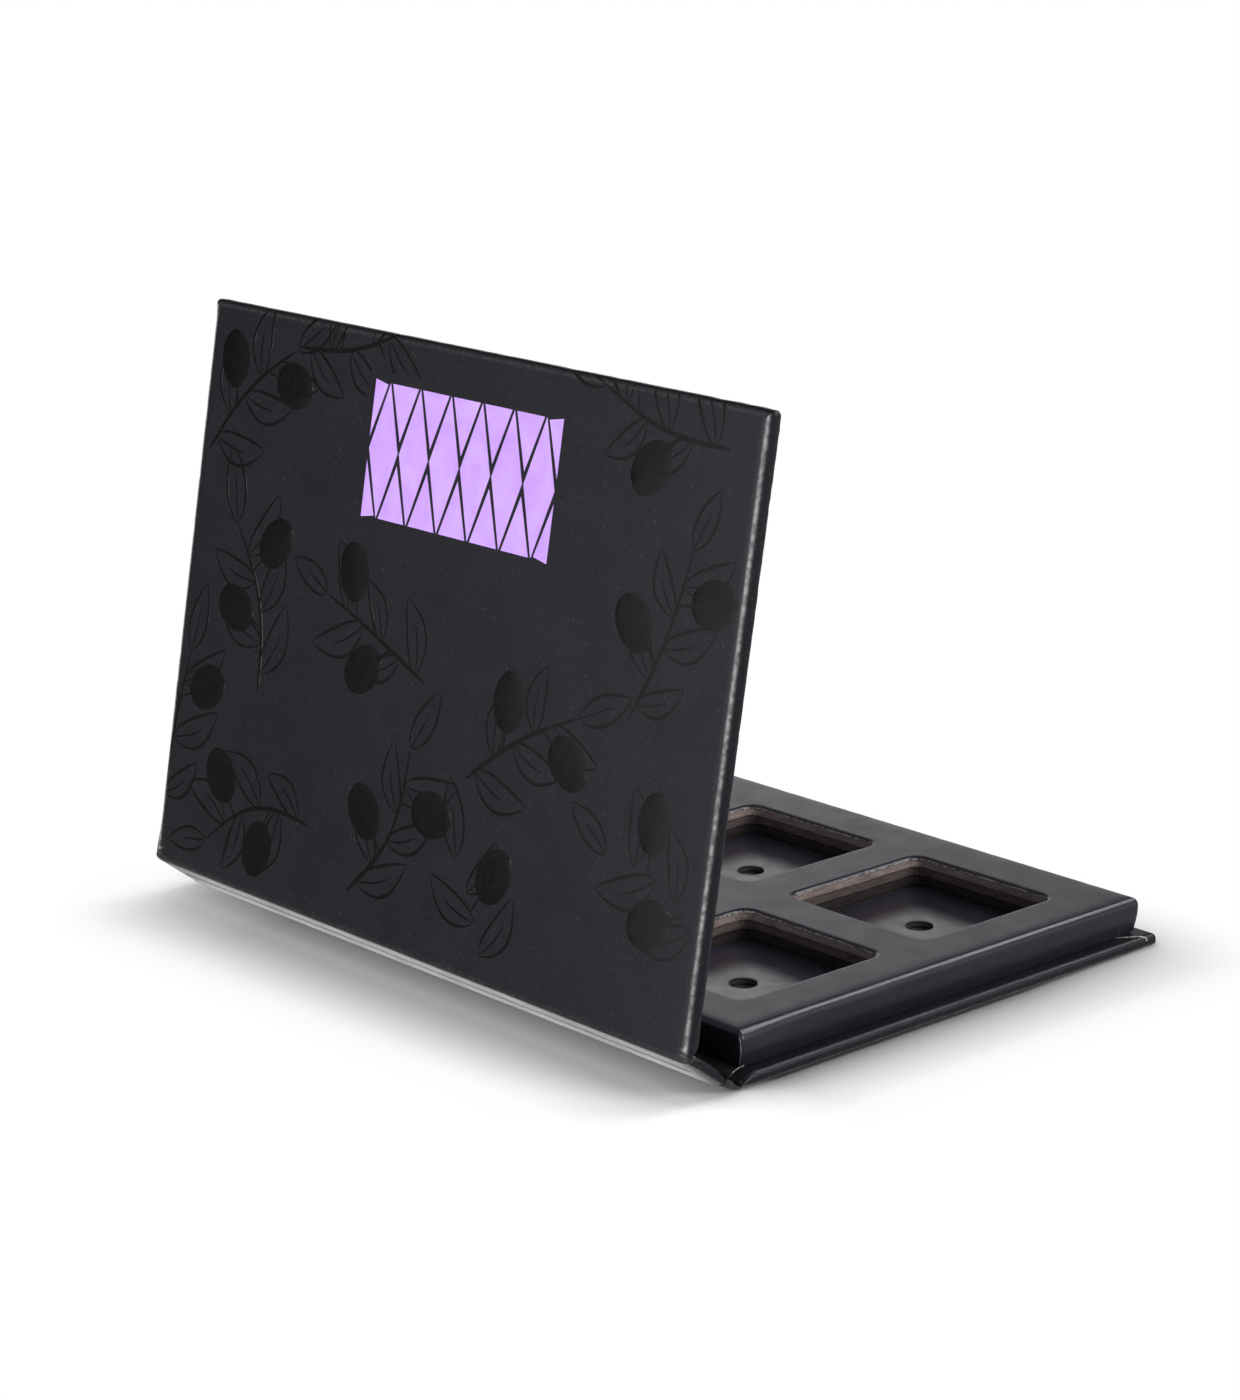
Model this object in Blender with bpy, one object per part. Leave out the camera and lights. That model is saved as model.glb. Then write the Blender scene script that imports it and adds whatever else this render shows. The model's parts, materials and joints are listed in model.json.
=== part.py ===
"""A book-style magnetic makeup palette of paper-covered greyboard, with six square wells.

The origin is the centre of the base's underside, +X runs along the hinge, +Y points to the spine
and +Z is up. The lid stands open, as the palette stands on a table.

The case has three stiff panels, base, spine and lid, joined by two paper creases. A panel is drawn
from its crease axis: "along" is the way from the axis to the free edge, and "rise" is the height
over the panel's outer face. The axis of a crease lies at the rise CREASE_RADIUS.
"""

import math

import bmesh
import bpy

# Driving dimensions of the papers and boards, in metres.
PAPER = 0.00015
GLUE_LINE = 0.0001
COVER_BOARD = 0.0014
TRAY_BOARD = 0.0014
MAGNET_SHEET = 0.0005

# Driving dimensions of the wells and of the tray around them.
COLUMNS = 3
ROWS = 2
WELL_SIDE = 0.0270
WELL_CORNER = 0.0020
FLOOR_CLEARANCE = 0.0001
LOWER_SETBACK = 0.0002
MIDDLE_SETBACK = 0.0003
BAR = 0.0082
SIDE_MARGIN = 0.0084
HINGE_MARGIN = 0.0082
FRONT_MARGIN = 0.0094
TRAY_CORNER = 0.0009
TRAY_ARRIS = 0.00035
PUSH_HOLE_DIAMETER = 0.0040

# Driving dimensions of the case.
OVERHANG = 0.0019
GUTTER = 0.0032
TURN_IN = 0.0026
LID_SETBACK = 0.0004
CLOSING_GAP = 0.0002
FOLD_CLEARANCE = 0.0002

# The mirror and the closure magnets.
MIRROR_THICKNESS = 0.0006
MIRROR_BORDER = 0.0090
MIRROR_CORNER = 0.0030
MAGNET_DIAMETER = 0.0060

# The open pose: how far spine and lid are turned up from lying flat behind the base.
SPINE_ANGLE = math.radians(37.5)
LID_ANGLE = math.radians(100.3)

# Shared length by which a cutter runs past what it cuts.
OVERRUN = 0.0010

# How finely round outlines are drawn.
CORNER_STEPS = 4
ROUND_STEPS = 20
CREASE_STEPS = 14

# Rises in a cover panel: wrap, board and lining, with a glue line on both sides of the board.
COVER_THICKNESS = PAPER + GLUE_LINE + COVER_BOARD + GLUE_LINE + PAPER
BOARD_LOW = PAPER + GLUE_LINE
BOARD_HIGH = BOARD_LOW + COVER_BOARD
INNER_PAPER_LOW = COVER_THICKNESS - PAPER

# Heights in the tray, from the base's underside up.
MAGNET_LOW = COVER_THICKNESS + GLUE_LINE
FLOOR_LOW = MAGNET_LOW + MAGNET_SHEET + GLUE_LINE
LOWER_BOARD_LOW = FLOOR_LOW
MIDDLE_BOARD_LOW = LOWER_BOARD_LOW + TRAY_BOARD + GLUE_LINE
UPPER_BOARD_LOW = MIDDLE_BOARD_LOW + TRAY_BOARD + GLUE_LINE
UPPER_BOARD_HIGH = UPPER_BOARD_LOW + TRAY_BOARD
TRAY_TOP = UPPER_BOARD_HIGH + GLUE_LINE + PAPER

# Plan sizes of the tray and the case.
PITCH = WELL_SIDE + BAR
TRAY_WIDTH = COLUMNS * WELL_SIDE + (COLUMNS - 1) * BAR + SIDE_MARGIN + SIDE_MARGIN
TRAY_DEPTH = ROWS * WELL_SIDE + (ROWS - 1) * BAR + HINGE_MARGIN + FRONT_MARGIN
COVER_WIDTH = TRAY_WIDTH + OVERHANG + OVERHANG
BASE_DEPTH = GUTTER + TRAY_DEPTH + OVERHANG
LID_DEPTH = BASE_DEPTH - LID_SETBACK
WRAP_INSET = PAPER + GLUE_LINE

# The creases. Closed, the spine is as high as all that lies between the two covers.
CREASE_RADIUS = BOARD_LOW
MITRE_STANDOFF = CREASE_RADIUS + FOLD_CLEARANCE
CLOSED_THICKNESS = (
    TRAY_TOP + CLOSING_GAP + MIRROR_THICKNESS + GLUE_LINE + COVER_THICKNESS
)
SPINE_LENGTH = CLOSED_THICKNESS - CREASE_RADIUS - CREASE_RADIUS

# Places in the base: the hinge axis is half a base behind the origin.
HINGE_Y = BASE_DEPTH / 2
TRAY_BACK_Y = HINGE_Y - GUTTER
TRAY_FRONT_Y = TRAY_BACK_Y - TRAY_DEPTH
TRAY_CENTRE_Y = (TRAY_BACK_Y + TRAY_FRONT_Y) / 2
MAGNET_ALONG = BASE_DEPTH - OVERHANG - FRONT_MARGIN / 2
MAGNET_X = PITCH * (COLUMNS - 1) / 2

# The tray's boards from the bottom up: where each starts, and how far its windows stand back.
TRAY_LAYERS = {
    "tray_lower_board": (LOWER_BOARD_LOW, LOWER_SETBACK),
    "tray_middle_board": (MIDDLE_BOARD_LOW, MIDDLE_SETBACK),
    "tray_upper_board": (UPPER_BOARD_LOW, 0),
}

# Finishes: linear colour, roughness and metallic value.
FINISHES = {
    "soft_touch_wrap": ((0.028, 0.027, 0.031), 0.55, 0.0),
    "black_lining": ((0.010, 0.010, 0.012), 0.60, 0.0),
    "satin_tray_paper": ((0.030, 0.029, 0.036), 0.38, 0.0),
    "gloss_floor_paper": ((0.022, 0.020, 0.025), 0.25, 0.0),
    "greyboard": ((0.170, 0.135, 0.128), 0.85, 0.0),
    "magnetic_rubber": ((0.030, 0.026, 0.025), 0.60, 0.0),
    "magnet_nickel": ((0.560, 0.550, 0.530), 0.25, 1.0),
    "mirror_silver": ((0.900, 0.900, 0.910), 0.03, 1.0),
}


def clear_scene():
    """Remove every object of the open scene."""
    for old in list(bpy.data.objects):
        bpy.data.objects.remove(old, do_unlink=True)


def make_finish(name):
    """Return a Principled BSDF material for one of the FINISHES."""
    colour, roughness, metallic = FINISHES[name]
    finish = bpy.data.materials.new(name)
    finish.use_nodes = True
    shader = finish.node_tree.nodes["Principled BSDF"]
    shader.inputs["Base Color"].default_value = (*colour, 1.0)
    shader.inputs["Roughness"].default_value = roughness
    shader.inputs["Metallic"].default_value = metallic
    finish.diffuse_color = (*colour, 1.0)
    return finish


def make_frame(name, parent, along, rise, angle):
    """Add an empty: a panel's frame, with its origin on the crease axis and turned about X."""
    frame = bpy.data.objects.new(name, None)
    bpy.context.collection.objects.link(frame)
    frame.parent = parent
    frame.location = (0, along, rise)
    frame.rotation_euler = (angle, 0, 0)
    return frame


def make_object(name, mesh_builder, parent, finish=None):
    """Turn a bmesh into a named object under its panel's frame."""
    bmesh.ops.recalc_face_normals(mesh_builder, faces=mesh_builder.faces)
    mesh = bpy.data.meshes.new(name)
    mesh_builder.to_mesh(mesh)
    mesh_builder.free()
    piece = bpy.data.objects.new(name, mesh)
    bpy.context.collection.objects.link(piece)
    piece.parent = parent
    if finish:
        mesh.materials.append(finish)
    else:
        piece.hide_render = True
        piece.display_type = "WIRE"
    return piece


def rounded_rectangle(width, depth, corner, centre):
    """List the plan outline of a rectangle with round corners, anticlockwise."""
    outline = []
    for quarter, (side, front) in enumerate(((1, 1), (-1, 1), (-1, -1), (1, -1))):
        arc_x = centre[0] + side * (width / 2 - corner)
        arc_y = centre[1] + front * (depth / 2 - corner)
        for step in range(CORNER_STEPS + 1):
            turn = math.pi / 2 * (quarter + step / CORNER_STEPS)
            outline.append((arc_x + corner * math.cos(turn), arc_y + corner * math.sin(turn)))
    return outline


def circle(diameter, centre):
    """List the plan outline of a round hole or disc."""
    outline = []
    for step in range(ROUND_STEPS):
        turn = math.tau * step / ROUND_STEPS
        x = centre[0] + diameter / 2 * math.cos(turn)
        y = centre[1] + diameter / 2 * math.sin(turn)
        outline.append((x, y))
    return outline


def extrude_plans(outlines, low, high):
    """Raise one or more plan outlines from the height low to the height high."""
    builder = bmesh.new()
    for outline in outlines:
        corners = [builder.verts.new((x, y, low)) for x, y in outline]
        face = builder.faces.new(corners)
        raised = bmesh.ops.extrude_face_region(builder, geom=[face])
        top = [item for item in raised["geom"] if isinstance(item, bmesh.types.BMVert)]
        bmesh.ops.translate(builder, verts=top, vec=(0, 0, high - low))
    return builder


def extrude_profile(profile, half_width):
    """Carry a profile of (along, rise) points from one side of a panel to the other.

    The frame's origin is on the crease axis, so a rise is measured from there.
    """
    builder = bmesh.new()
    corners = [builder.verts.new((-half_width, y, z - CREASE_RADIUS)) for y, z in profile]
    face = builder.faces.new(corners)
    carried = bmesh.ops.extrude_face_region(builder, geom=[face])
    far_side = [item for item in carried["geom"] if isinstance(item, bmesh.types.BMVert)]
    bmesh.ops.translate(builder, verts=far_side, vec=(half_width + half_width, 0, 0))
    return builder


def cut(piece, cutter, operation="DIFFERENCE"):
    """Take a cutter's shape out of a piece with a live exact Boolean."""
    boolean = piece.modifiers.new(cutter.name, "BOOLEAN")
    boolean.operation = operation
    boolean.solver = "EXACT"
    boolean.object = cutter


def round_top_edges(builder, height, radius):
    """Round the outer edges of a raised plan at the given height."""
    rim = [edge for edge in builder.edges if all(v.co.z == height for v in edge.verts)]
    bmesh.ops.bevel(
        builder, geom=rim, offset=radius, segments=2, profile=0.5, affect="EDGES"
    )


def mitre(rise, standoff=MITRE_STANDOFF):
    """Tell how far along a board's end starts at a given rise.

    The end is cut at 45 degrees, so that two panels fold to a right angle, and its plane stands
    the given distance off the crease axis.
    """
    return rise - CREASE_RADIUS + standoff * math.sqrt(2)


def panel_points(low, high, far, hinged_far=False):
    """List the profile of a layer between two rises, mitred at its hinge end.

    With hinged_far, the far end is mitred too, about a second axis at the distance far.
    """
    if hinged_far:
        far_end = [(far - mitre(low), low), (far - mitre(high), high)]
    else:
        far_end = [(far, low), (far, high)]
    return [(mitre(low), low), *far_end, (mitre(high), high)]


def flip(profile):
    """Turn a profile towards the front of the palette, where the base lies."""
    return [(-along, rise) for along, rise in profile]


def crease_roll():
    """List the arc of folded paper round the crease axis, from the wrap's upper face round to
    its lower face."""
    start = math.asin((PAPER - CREASE_RADIUS) / CREASE_RADIUS)
    turn = 1.5 * math.pi - start
    arc = []
    for step in range(CREASE_STEPS + 1):
        angle = start + turn * step / CREASE_STEPS
        along = CREASE_RADIUS * math.cos(angle)
        arc.append((along, CREASE_RADIUS + CREASE_RADIUS * math.sin(angle)))
    return arc


def leaf_wrap_profile(depth):
    """Outline the wrap of base or lid as a full block: a sheet that ends in the crease roll."""
    return [
        (depth, 0),
        (depth, COVER_THICKNESS),
        (mitre(COVER_THICKNESS), COVER_THICKNESS),
        (mitre(PAPER), PAPER),
        *crease_roll(),
    ]


def spine_wrap_profile():
    """Outline the wrap of the spine as a full block between its two creases."""
    end = CREASE_RADIUS + FOLD_CLEARANCE
    return [
        (end, 0),
        (SPINE_LENGTH - end, 0),
        (SPINE_LENGTH - end, PAPER),
        (SPINE_LENGTH - mitre(PAPER), PAPER),
        (SPINE_LENGTH - mitre(COVER_THICKNESS), COVER_THICKNESS),
        (mitre(COVER_THICKNESS), COVER_THICKNESS),
        (mitre(PAPER), PAPER),
        (end, PAPER),
    ]


def cavity_profile(low, high, far, hinged_far=False):
    """Outline the space inside a wrap. It runs a little past the mitre, short of the roll."""
    standoff = CREASE_RADIUS + FOLD_CLEARANCE / 2
    near_low = mitre(low, standoff)
    near_high = mitre(high, standoff)
    if hinged_far:
        return [(near_low, low), (far - near_low, low), (far - near_high, high), (near_high, high)]
    return [(near_low, low), (far, low), (far, high), (near_high, high)]


def make_panel(name, frame, depth, finishes, facing_front=False, is_spine=False):
    """Make the board, wrap and lining of one cover panel, and return them by name."""
    turned = flip if facing_front else list
    half = COVER_WIDTH / 2
    free = depth if is_spine else depth - WRAP_INSET
    lining_free = depth if is_spine else depth - TURN_IN - GLUE_LINE
    cavity_free = depth if is_spine else depth - PAPER
    opening_free = depth if is_spine else depth - TURN_IN
    block = spine_wrap_profile() if is_spine else leaf_wrap_profile(depth)

    board_points = panel_points(BOARD_LOW, BOARD_HIGH, free, is_spine)
    board = make_object(
        f"{name}_board",
        extrude_profile(turned(board_points), half - WRAP_INSET),
        frame,
        finishes["greyboard"],
    )
    lining_points = panel_points(INNER_PAPER_LOW, COVER_THICKNESS, lining_free, is_spine)
    lining = make_object(
        f"{name}_liner",
        extrude_profile(turned(lining_points), half - TURN_IN - GLUE_LINE),
        frame,
        finishes["black_lining"],
    )
    wrap = make_object(
        f"{name}_wrap", extrude_profile(turned(block), half), frame, finishes["soft_touch_wrap"]
    )
    cavity_points = cavity_profile(PAPER, INNER_PAPER_LOW, cavity_free, is_spine)
    cavity = make_object(
        f"{name}_board_space", extrude_profile(turned(cavity_points), half - PAPER), frame
    )
    opening_points = cavity_profile(
        INNER_PAPER_LOW - GLUE_LINE, COVER_THICKNESS + OVERRUN, opening_free, is_spine
    )
    opening = make_object(
        f"{name}_turn_in_edge", extrude_profile(turned(opening_points), half - TURN_IN), frame
    )
    cut(wrap, cavity)
    cut(wrap, opening)
    return {"board": board, "liner": lining, "wrap": wrap}


def well_centres():
    """List the plan centres of the wells, the row at the spine first."""
    centres = []
    for row in range(ROWS):
        y = TRAY_BACK_Y - HINGE_MARGIN - WELL_SIDE / 2 - row * PITCH
        for column in range(COLUMNS):
            centres.append(((column - (COLUMNS - 1) / 2) * PITCH, y))
    return centres


def window_outlines(side):
    """Outline all the windows of one tray layer."""
    return [rounded_rectangle(side, side, WELL_CORNER, centre) for centre in well_centres()]


def tray_outline(inset):
    """Outline the tray in plan, drawn in by an inset."""
    return rounded_rectangle(
        TRAY_WIDTH - inset - inset,
        TRAY_DEPTH - inset - inset,
        TRAY_CORNER - inset,
        (0, TRAY_CENTRE_Y),
    )


def make_magnet(name, frame, x, along, low, high, finish):
    """Make one closure magnet, a flat disc, between two heights of its frame."""
    disc = extrude_plans([circle(MAGNET_DIAMETER, (x, along))], low, high)
    return make_object(name, disc, frame, finish)


def make_tray_boards(frame, finish):
    """Make the tray's three boards, each with its own windows, and return them by name."""
    boards = {}
    for name, (low, setback) in TRAY_LAYERS.items():
        sheet = extrude_plans([tray_outline(WRAP_INSET)], low, low + TRAY_BOARD)
        boards[name] = make_object(name, sheet, frame, finish)
        side = WELL_SIDE + setback + setback
        windows = extrude_plans(window_outlines(side), low - OVERRUN, low + TRAY_BOARD + OVERRUN)
        cut(boards[name], make_object(f"{name}_windows", windows, frame))
    return boards


def make_tray_wrap(frame, finish):
    """Make the paper over the tray's top and sides, with its windows."""
    block = extrude_plans([tray_outline(0)], MAGNET_LOW, TRAY_TOP)
    top_height = max(corner.co.z for corner in block.verts)
    round_top_edges(block, top_height, TRAY_ARRIS)
    wrap = make_object("tray_wrap", block, frame, finish)
    inside = extrude_plans([tray_outline(PAPER)], MAGNET_LOW - OVERRUN, TRAY_TOP - PAPER)
    cut(wrap, make_object("tray_inside", inside, frame))
    windows = extrude_plans(
        window_outlines(WELL_SIDE), TRAY_TOP - PAPER - OVERRUN, TRAY_TOP + OVERRUN
    )
    cut(wrap, make_object("tray_wrap_windows", windows, frame))


def make_well_floors(frame, finish):
    """Make the square of glossy paper on each well's floor, and return all of them."""
    side = WELL_SIDE - FLOOR_CLEARANCE - FLOOR_CLEARANCE
    floors = []
    for number, centre in enumerate(well_centres(), start=1):
        outline = rounded_rectangle(side, side, WELL_CORNER - FLOOR_CLEARANCE, centre)
        square = extrude_plans([outline], FLOOR_LOW, FLOOR_LOW + PAPER)
        floors.append(make_object(f"well_floor_{number}", square, frame, finish))
    return floors


def make_tray(frame, finishes):
    """Make the tray, and return what lies under its wells."""
    sheet = extrude_plans([tray_outline(WRAP_INSET)], MAGNET_LOW, MAGNET_LOW + MAGNET_SHEET)
    magnet_sheet = make_object("magnet_sheet", sheet, frame, finishes["magnetic_rubber"])
    floors = make_well_floors(frame, finishes["gloss_floor_paper"])
    boards = make_tray_boards(frame, finishes["greyboard"])
    make_tray_wrap(frame, finishes["satin_tray_paper"])

    pocket_diameter = MAGNET_DIAMETER + GLUE_LINE + GLUE_LINE
    magnet_y = HINGE_Y - MAGNET_ALONG
    places = [(-MAGNET_X, magnet_y), (MAGNET_X, magnet_y)]
    pockets = extrude_plans(
        [circle(pocket_diameter, place) for place in places],
        UPPER_BOARD_LOW - OVERRUN,
        UPPER_BOARD_HIGH + OVERRUN,
    )
    cut(boards["tray_upper_board"], make_object("tray_magnet_pockets", pockets, frame))
    for side, (x, y) in zip(("left", "right"), places):
        low = UPPER_BOARD_LOW + GLUE_LINE
        high = UPPER_BOARD_HIGH - GLUE_LINE
        make_magnet(f"tray_magnet_{side}", frame, x, y, low, high, finishes["magnet_nickel"])
    return [magnet_sheet, *floors]


def make_lid_fittings(frame, lid_board, finishes):
    """Make the lid's mirror and its two closure magnets, which meet those of the tray."""
    pocket_diameter = MAGNET_DIAMETER + GLUE_LINE + GLUE_LINE
    places = [(-MAGNET_X, MAGNET_ALONG), (MAGNET_X, MAGNET_ALONG)]
    low = BOARD_LOW - CREASE_RADIUS
    high = BOARD_HIGH - CREASE_RADIUS
    pockets = extrude_plans(
        [circle(pocket_diameter, place) for place in places], low - OVERRUN, high + OVERRUN
    )
    cut(lid_board, make_object("lid_magnet_pockets", pockets, frame))
    for side, (x, along) in zip(("left", "right"), places):
        make_magnet(
            f"lid_magnet_{side}",
            frame,
            x,
            along,
            low + GLUE_LINE,
            high - GLUE_LINE,
            finishes["magnet_nickel"],
        )

    mirror_low = COVER_THICKNESS + GLUE_LINE - CREASE_RADIUS
    outline = rounded_rectangle(
        COVER_WIDTH - MIRROR_BORDER - MIRROR_BORDER,
        LID_DEPTH - MIRROR_BORDER - MIRROR_BORDER,
        MIRROR_CORNER,
        (0, LID_DEPTH / 2),
    )
    glass = extrude_plans([outline], mirror_low, mirror_low + MIRROR_THICKNESS)
    make_object("mirror", glass, frame, finishes["mirror_silver"])


def cut_push_holes(frame, pieces):
    """Punch the round push-out hole of every well down through the pieces below it."""
    outlines = [circle(PUSH_HOLE_DIAMETER, centre) for centre in well_centres()]
    holes = extrude_plans(outlines, -OVERRUN, MIDDLE_BOARD_LOW)
    cutter = make_object("push_holes", holes, frame)
    for piece in pieces:
        cut(piece, cutter)


def build():
    """Build the whole palette."""
    clear_scene()
    finishes = {name: make_finish(name) for name in FINISHES}

    base_frame = make_frame("base_frame", None, 0, 0, 0)
    hinge_frame = make_frame("base_hinge_side", None, HINGE_Y, CREASE_RADIUS, 0)
    spine_frame = make_frame("spine_frame", None, HINGE_Y, CREASE_RADIUS, SPINE_ANGLE)
    lid_frame = make_frame("lid_frame", spine_frame, SPINE_LENGTH, 0, LID_ANGLE - SPINE_ANGLE)

    base = make_panel("base", hinge_frame, BASE_DEPTH, finishes, facing_front=True)
    make_panel("spine", spine_frame, SPINE_LENGTH, finishes, is_spine=True)
    lid = make_panel("lid", lid_frame, LID_DEPTH, finishes)
    under_wells = make_tray(base_frame, finishes)
    make_lid_fittings(lid_frame, lid["board"], finishes)
    cut_push_holes(base_frame, [*base.values(), *under_wells])


build()
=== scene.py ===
# %% [markdown]
# # A magnetic makeup palette, dressed around its CAD model
#
# The palette is a small book of grey cardboard covered with paper: a base with a tray of six
# wells, a narrow spine and a lid. The CAD model gives every body, joint and size. This lesson
# adds what a CAD model leaves out: papers with rounded, slightly uneven edges, raw board in the
# wells, creases that bend, varnish and ink.
#
# Every coordinate is in metres, in the frame of the CAD model: X runs along the hinge, Y points
# to the spine and Z is up.

# %% Load the fixed frame
import json
import math

import bmesh
import bpy
import numpy as np
from mathutils import Matrix, Vector


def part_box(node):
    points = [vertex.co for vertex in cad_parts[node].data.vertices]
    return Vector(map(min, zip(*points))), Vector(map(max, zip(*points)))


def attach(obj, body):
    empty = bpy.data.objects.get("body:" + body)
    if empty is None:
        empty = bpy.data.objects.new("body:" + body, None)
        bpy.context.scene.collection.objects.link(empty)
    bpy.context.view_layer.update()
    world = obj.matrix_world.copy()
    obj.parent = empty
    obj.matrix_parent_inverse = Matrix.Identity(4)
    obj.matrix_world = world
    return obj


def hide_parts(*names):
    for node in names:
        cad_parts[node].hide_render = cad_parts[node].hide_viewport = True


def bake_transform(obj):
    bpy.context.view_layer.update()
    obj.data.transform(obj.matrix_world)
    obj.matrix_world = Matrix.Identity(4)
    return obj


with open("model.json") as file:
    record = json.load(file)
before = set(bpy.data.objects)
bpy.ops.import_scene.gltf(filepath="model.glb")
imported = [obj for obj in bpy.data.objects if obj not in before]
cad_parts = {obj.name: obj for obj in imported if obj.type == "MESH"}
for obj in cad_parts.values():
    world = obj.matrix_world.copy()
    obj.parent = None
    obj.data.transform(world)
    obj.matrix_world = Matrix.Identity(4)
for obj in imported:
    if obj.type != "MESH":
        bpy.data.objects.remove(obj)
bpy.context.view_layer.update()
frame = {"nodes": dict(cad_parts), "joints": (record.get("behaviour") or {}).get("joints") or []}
MM = 0.001

# %% [markdown]
# ## The view
#
# The photograph looks at the back of the open lid, from a little above. Its camera was found by
# matching corners of the palette with their places in the picture. A long lens keeps parallel
# edges almost parallel, as in the photograph.

# %% Place the camera
CAMERA_PLACE = Vector((-0.38930, 0.35595, 0.18113))
CAMERA_YAW = math.radians(131.743)
CAMERA_PITCH = math.radians(15.695)
CAMERA_ROLL = math.radians(-0.501)
SENSOR = 36.0
FOCAL_IN_PIXELS = 3752.1
PICTURE_HEIGHT = 1400


def place_camera():
    """Aim a camera by yaw from +Y towards +X, pitch below the horizon, and roll."""
    level = math.cos(CAMERA_PITCH)
    ahead = (level * math.sin(CAMERA_YAW), level * math.cos(CAMERA_YAW), -math.sin(CAMERA_PITCH))
    forward = Vector(ahead)
    side = Vector((math.cos(CAMERA_YAW), -math.sin(CAMERA_YAW), 0))
    above = side.cross(forward)
    right = side * math.cos(CAMERA_ROLL) + above * math.sin(CAMERA_ROLL)
    up = above * math.cos(CAMERA_ROLL) - side * math.sin(CAMERA_ROLL)
    lens = bpy.data.cameras.new("camera")
    lens.sensor_width = SENSOR
    lens.lens = FOCAL_IN_PIXELS * SENSOR / PICTURE_HEIGHT
    lens.clip_start, lens.clip_end = 0.01, 20
    camera = bpy.data.objects.new("camera", lens)
    bpy.context.scene.collection.objects.link(camera)
    turn = Matrix((right, up, -forward)).transposed().to_4x4()
    camera.matrix_world = Matrix.Translation(CAMERA_PLACE) @ turn
    bpy.context.scene.camera = camera
    print("lens", round(lens.lens, 1), "mm, at", tuple(round(v, 3) for v in CAMERA_PLACE))


place_camera()
bpy.context.scene.view_settings.view_transform = "Standard"

# %% [markdown]
# ## Floor, world and lamps
#
# Product photographs stand on white paper that runs up behind the object. Here the floor is one
# pale disc, which keeps the object's shadow, and the world is plain white wherever the camera
# looks. Reflections see a room instead: white walls up to about 25 degrees, a dim ceiling, and
# black cloths, which a photographer hangs beside a dark object so that its sides don't all
# mirror white. The plain light comes from a weaker world and three softboxes.


# %% Add nodes to a material or a world
def add_node(tree, kind, inputs=None, **settings):
    """Add a node with its settings. An input's value is another node's output or a constant."""
    node = tree.nodes.new(kind)
    for key, value in settings.items():
        setattr(node, key, value)
    for key, value in (inputs or {}).items():
        if isinstance(value, bpy.types.NodeSocket):
            tree.links.new(value, node.inputs[key])
        else:
            node.inputs[key].default_value = value
    return node


def spread(tree, value, low, high, start=0.3, end=0.7, step="LINEAR"):
    """Turn start to end into low to high. Noise mostly lies between 0.3 and 0.7."""
    inputs = {
        "Value": value, "From Min": start, "From Max": end, "To Min": low, "To Max": high,
    }
    return add_node(tree, "ShaderNodeMapRange", inputs, interpolation_type=step).outputs["Result"]


def product(tree, first, second):
    """Multiply two numbers."""
    return add_node(
        tree, "ShaderNodeMath", {0: first, 1: second}, operation="MULTIPLY"
    ).outputs[0]


def greater(tree, first, second):
    """The greater of two numbers."""
    return add_node(tree, "ShaderNodeMath", {0: first, 1: second}, operation="MAXIMUM").outputs[0]


def blend_numbers(tree, share, first, second):
    """Mix two numbers by a share."""
    inputs = {"Factor": share, "A": first, "B": second}
    return add_node(tree, "ShaderNodeMix", inputs, data_type="FLOAT").outputs["Result"]


def blend_shaders(tree, share, first, second):
    """Mix two shaders by a share."""
    return add_node(tree, "ShaderNodeMixShader", {0: share, 1: first, 2: second}).outputs[0]


def glow(tree, strength):
    """White light from a surface itself."""
    inputs = {"Color": (1, 1, 1, 1), "Strength": strength}
    return add_node(tree, "ShaderNodeEmission", inputs).outputs[0]


def vector_step(tree, operation, vector, constant=(0, 0, 0)):
    """One step of arithmetic with a vector and a constant one."""
    inputs = {0: vector, 1: constant}
    node = add_node(tree, "ShaderNodeVectorMath", inputs, operation=operation)
    return node.outputs["Value" if operation in ("DOT_PRODUCT", "LENGTH") else "Vector"]


# %% Shade one side of the room
# Each cloth: its azimuth in degrees, the nearness where it starts and is full, and its level.
WALL_CLOTHS = [(18, 0.82, 0.962, 0.02), (-86, 0.68, 0.95, 0.15)]
FLOOR_CLOTHS = [(26, 0.91, 0.985, 0.12)]


def room_light(tree, way, cloths):
    """1 for ways that look at the white room, and dim for those towards a black cloth.

    Each cloth is a soft dip round one azimuth. Nearness is the cosine of the angle between a way
    and the cloth's azimuth, both laid flat.
    """
    level = vector_step(tree, "NORMALIZE", vector_step(tree, "MULTIPLY", way, (1, 1, 0)))
    light = 1.0
    for azimuth, start, full, dim in cloths:
        turn = math.radians(azimuth)
        nearness = vector_step(tree, "DOT_PRODUCT", level, (math.cos(turn), math.sin(turn), 0))
        light = product(tree, light, spread(tree, nearness, 1.0, dim, start, full, "SMOOTHSTEP"))
    return light


print("black cloths:", len(WALL_CLOTHS), "on the walls and", len(FLOOR_CLOTHS), "on the floor")

# %% Lay the floor
FLOOR_RADIUS = 3.0
FLOOR_DROP = 0.00004


def lay_floor():
    """A flat disc just below the palette."""
    turn = np.linspace(0, math.tau, 96, endpoint=False)
    rim = np.stack([np.cos(turn), np.sin(turn), 0 * turn], 1) * FLOOR_RADIUS
    rim[:, 2] = -FLOOR_DROP
    mesh = bpy.data.meshes.new("floor")
    mesh.from_pydata(rim.tolist(), [], [list(range(len(rim)))])
    floor = bpy.data.objects.new("floor", mesh)
    bpy.context.scene.collection.objects.link(floor)
    print("floor of", FLOOR_RADIUS, "m radius")
    return floor
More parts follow.
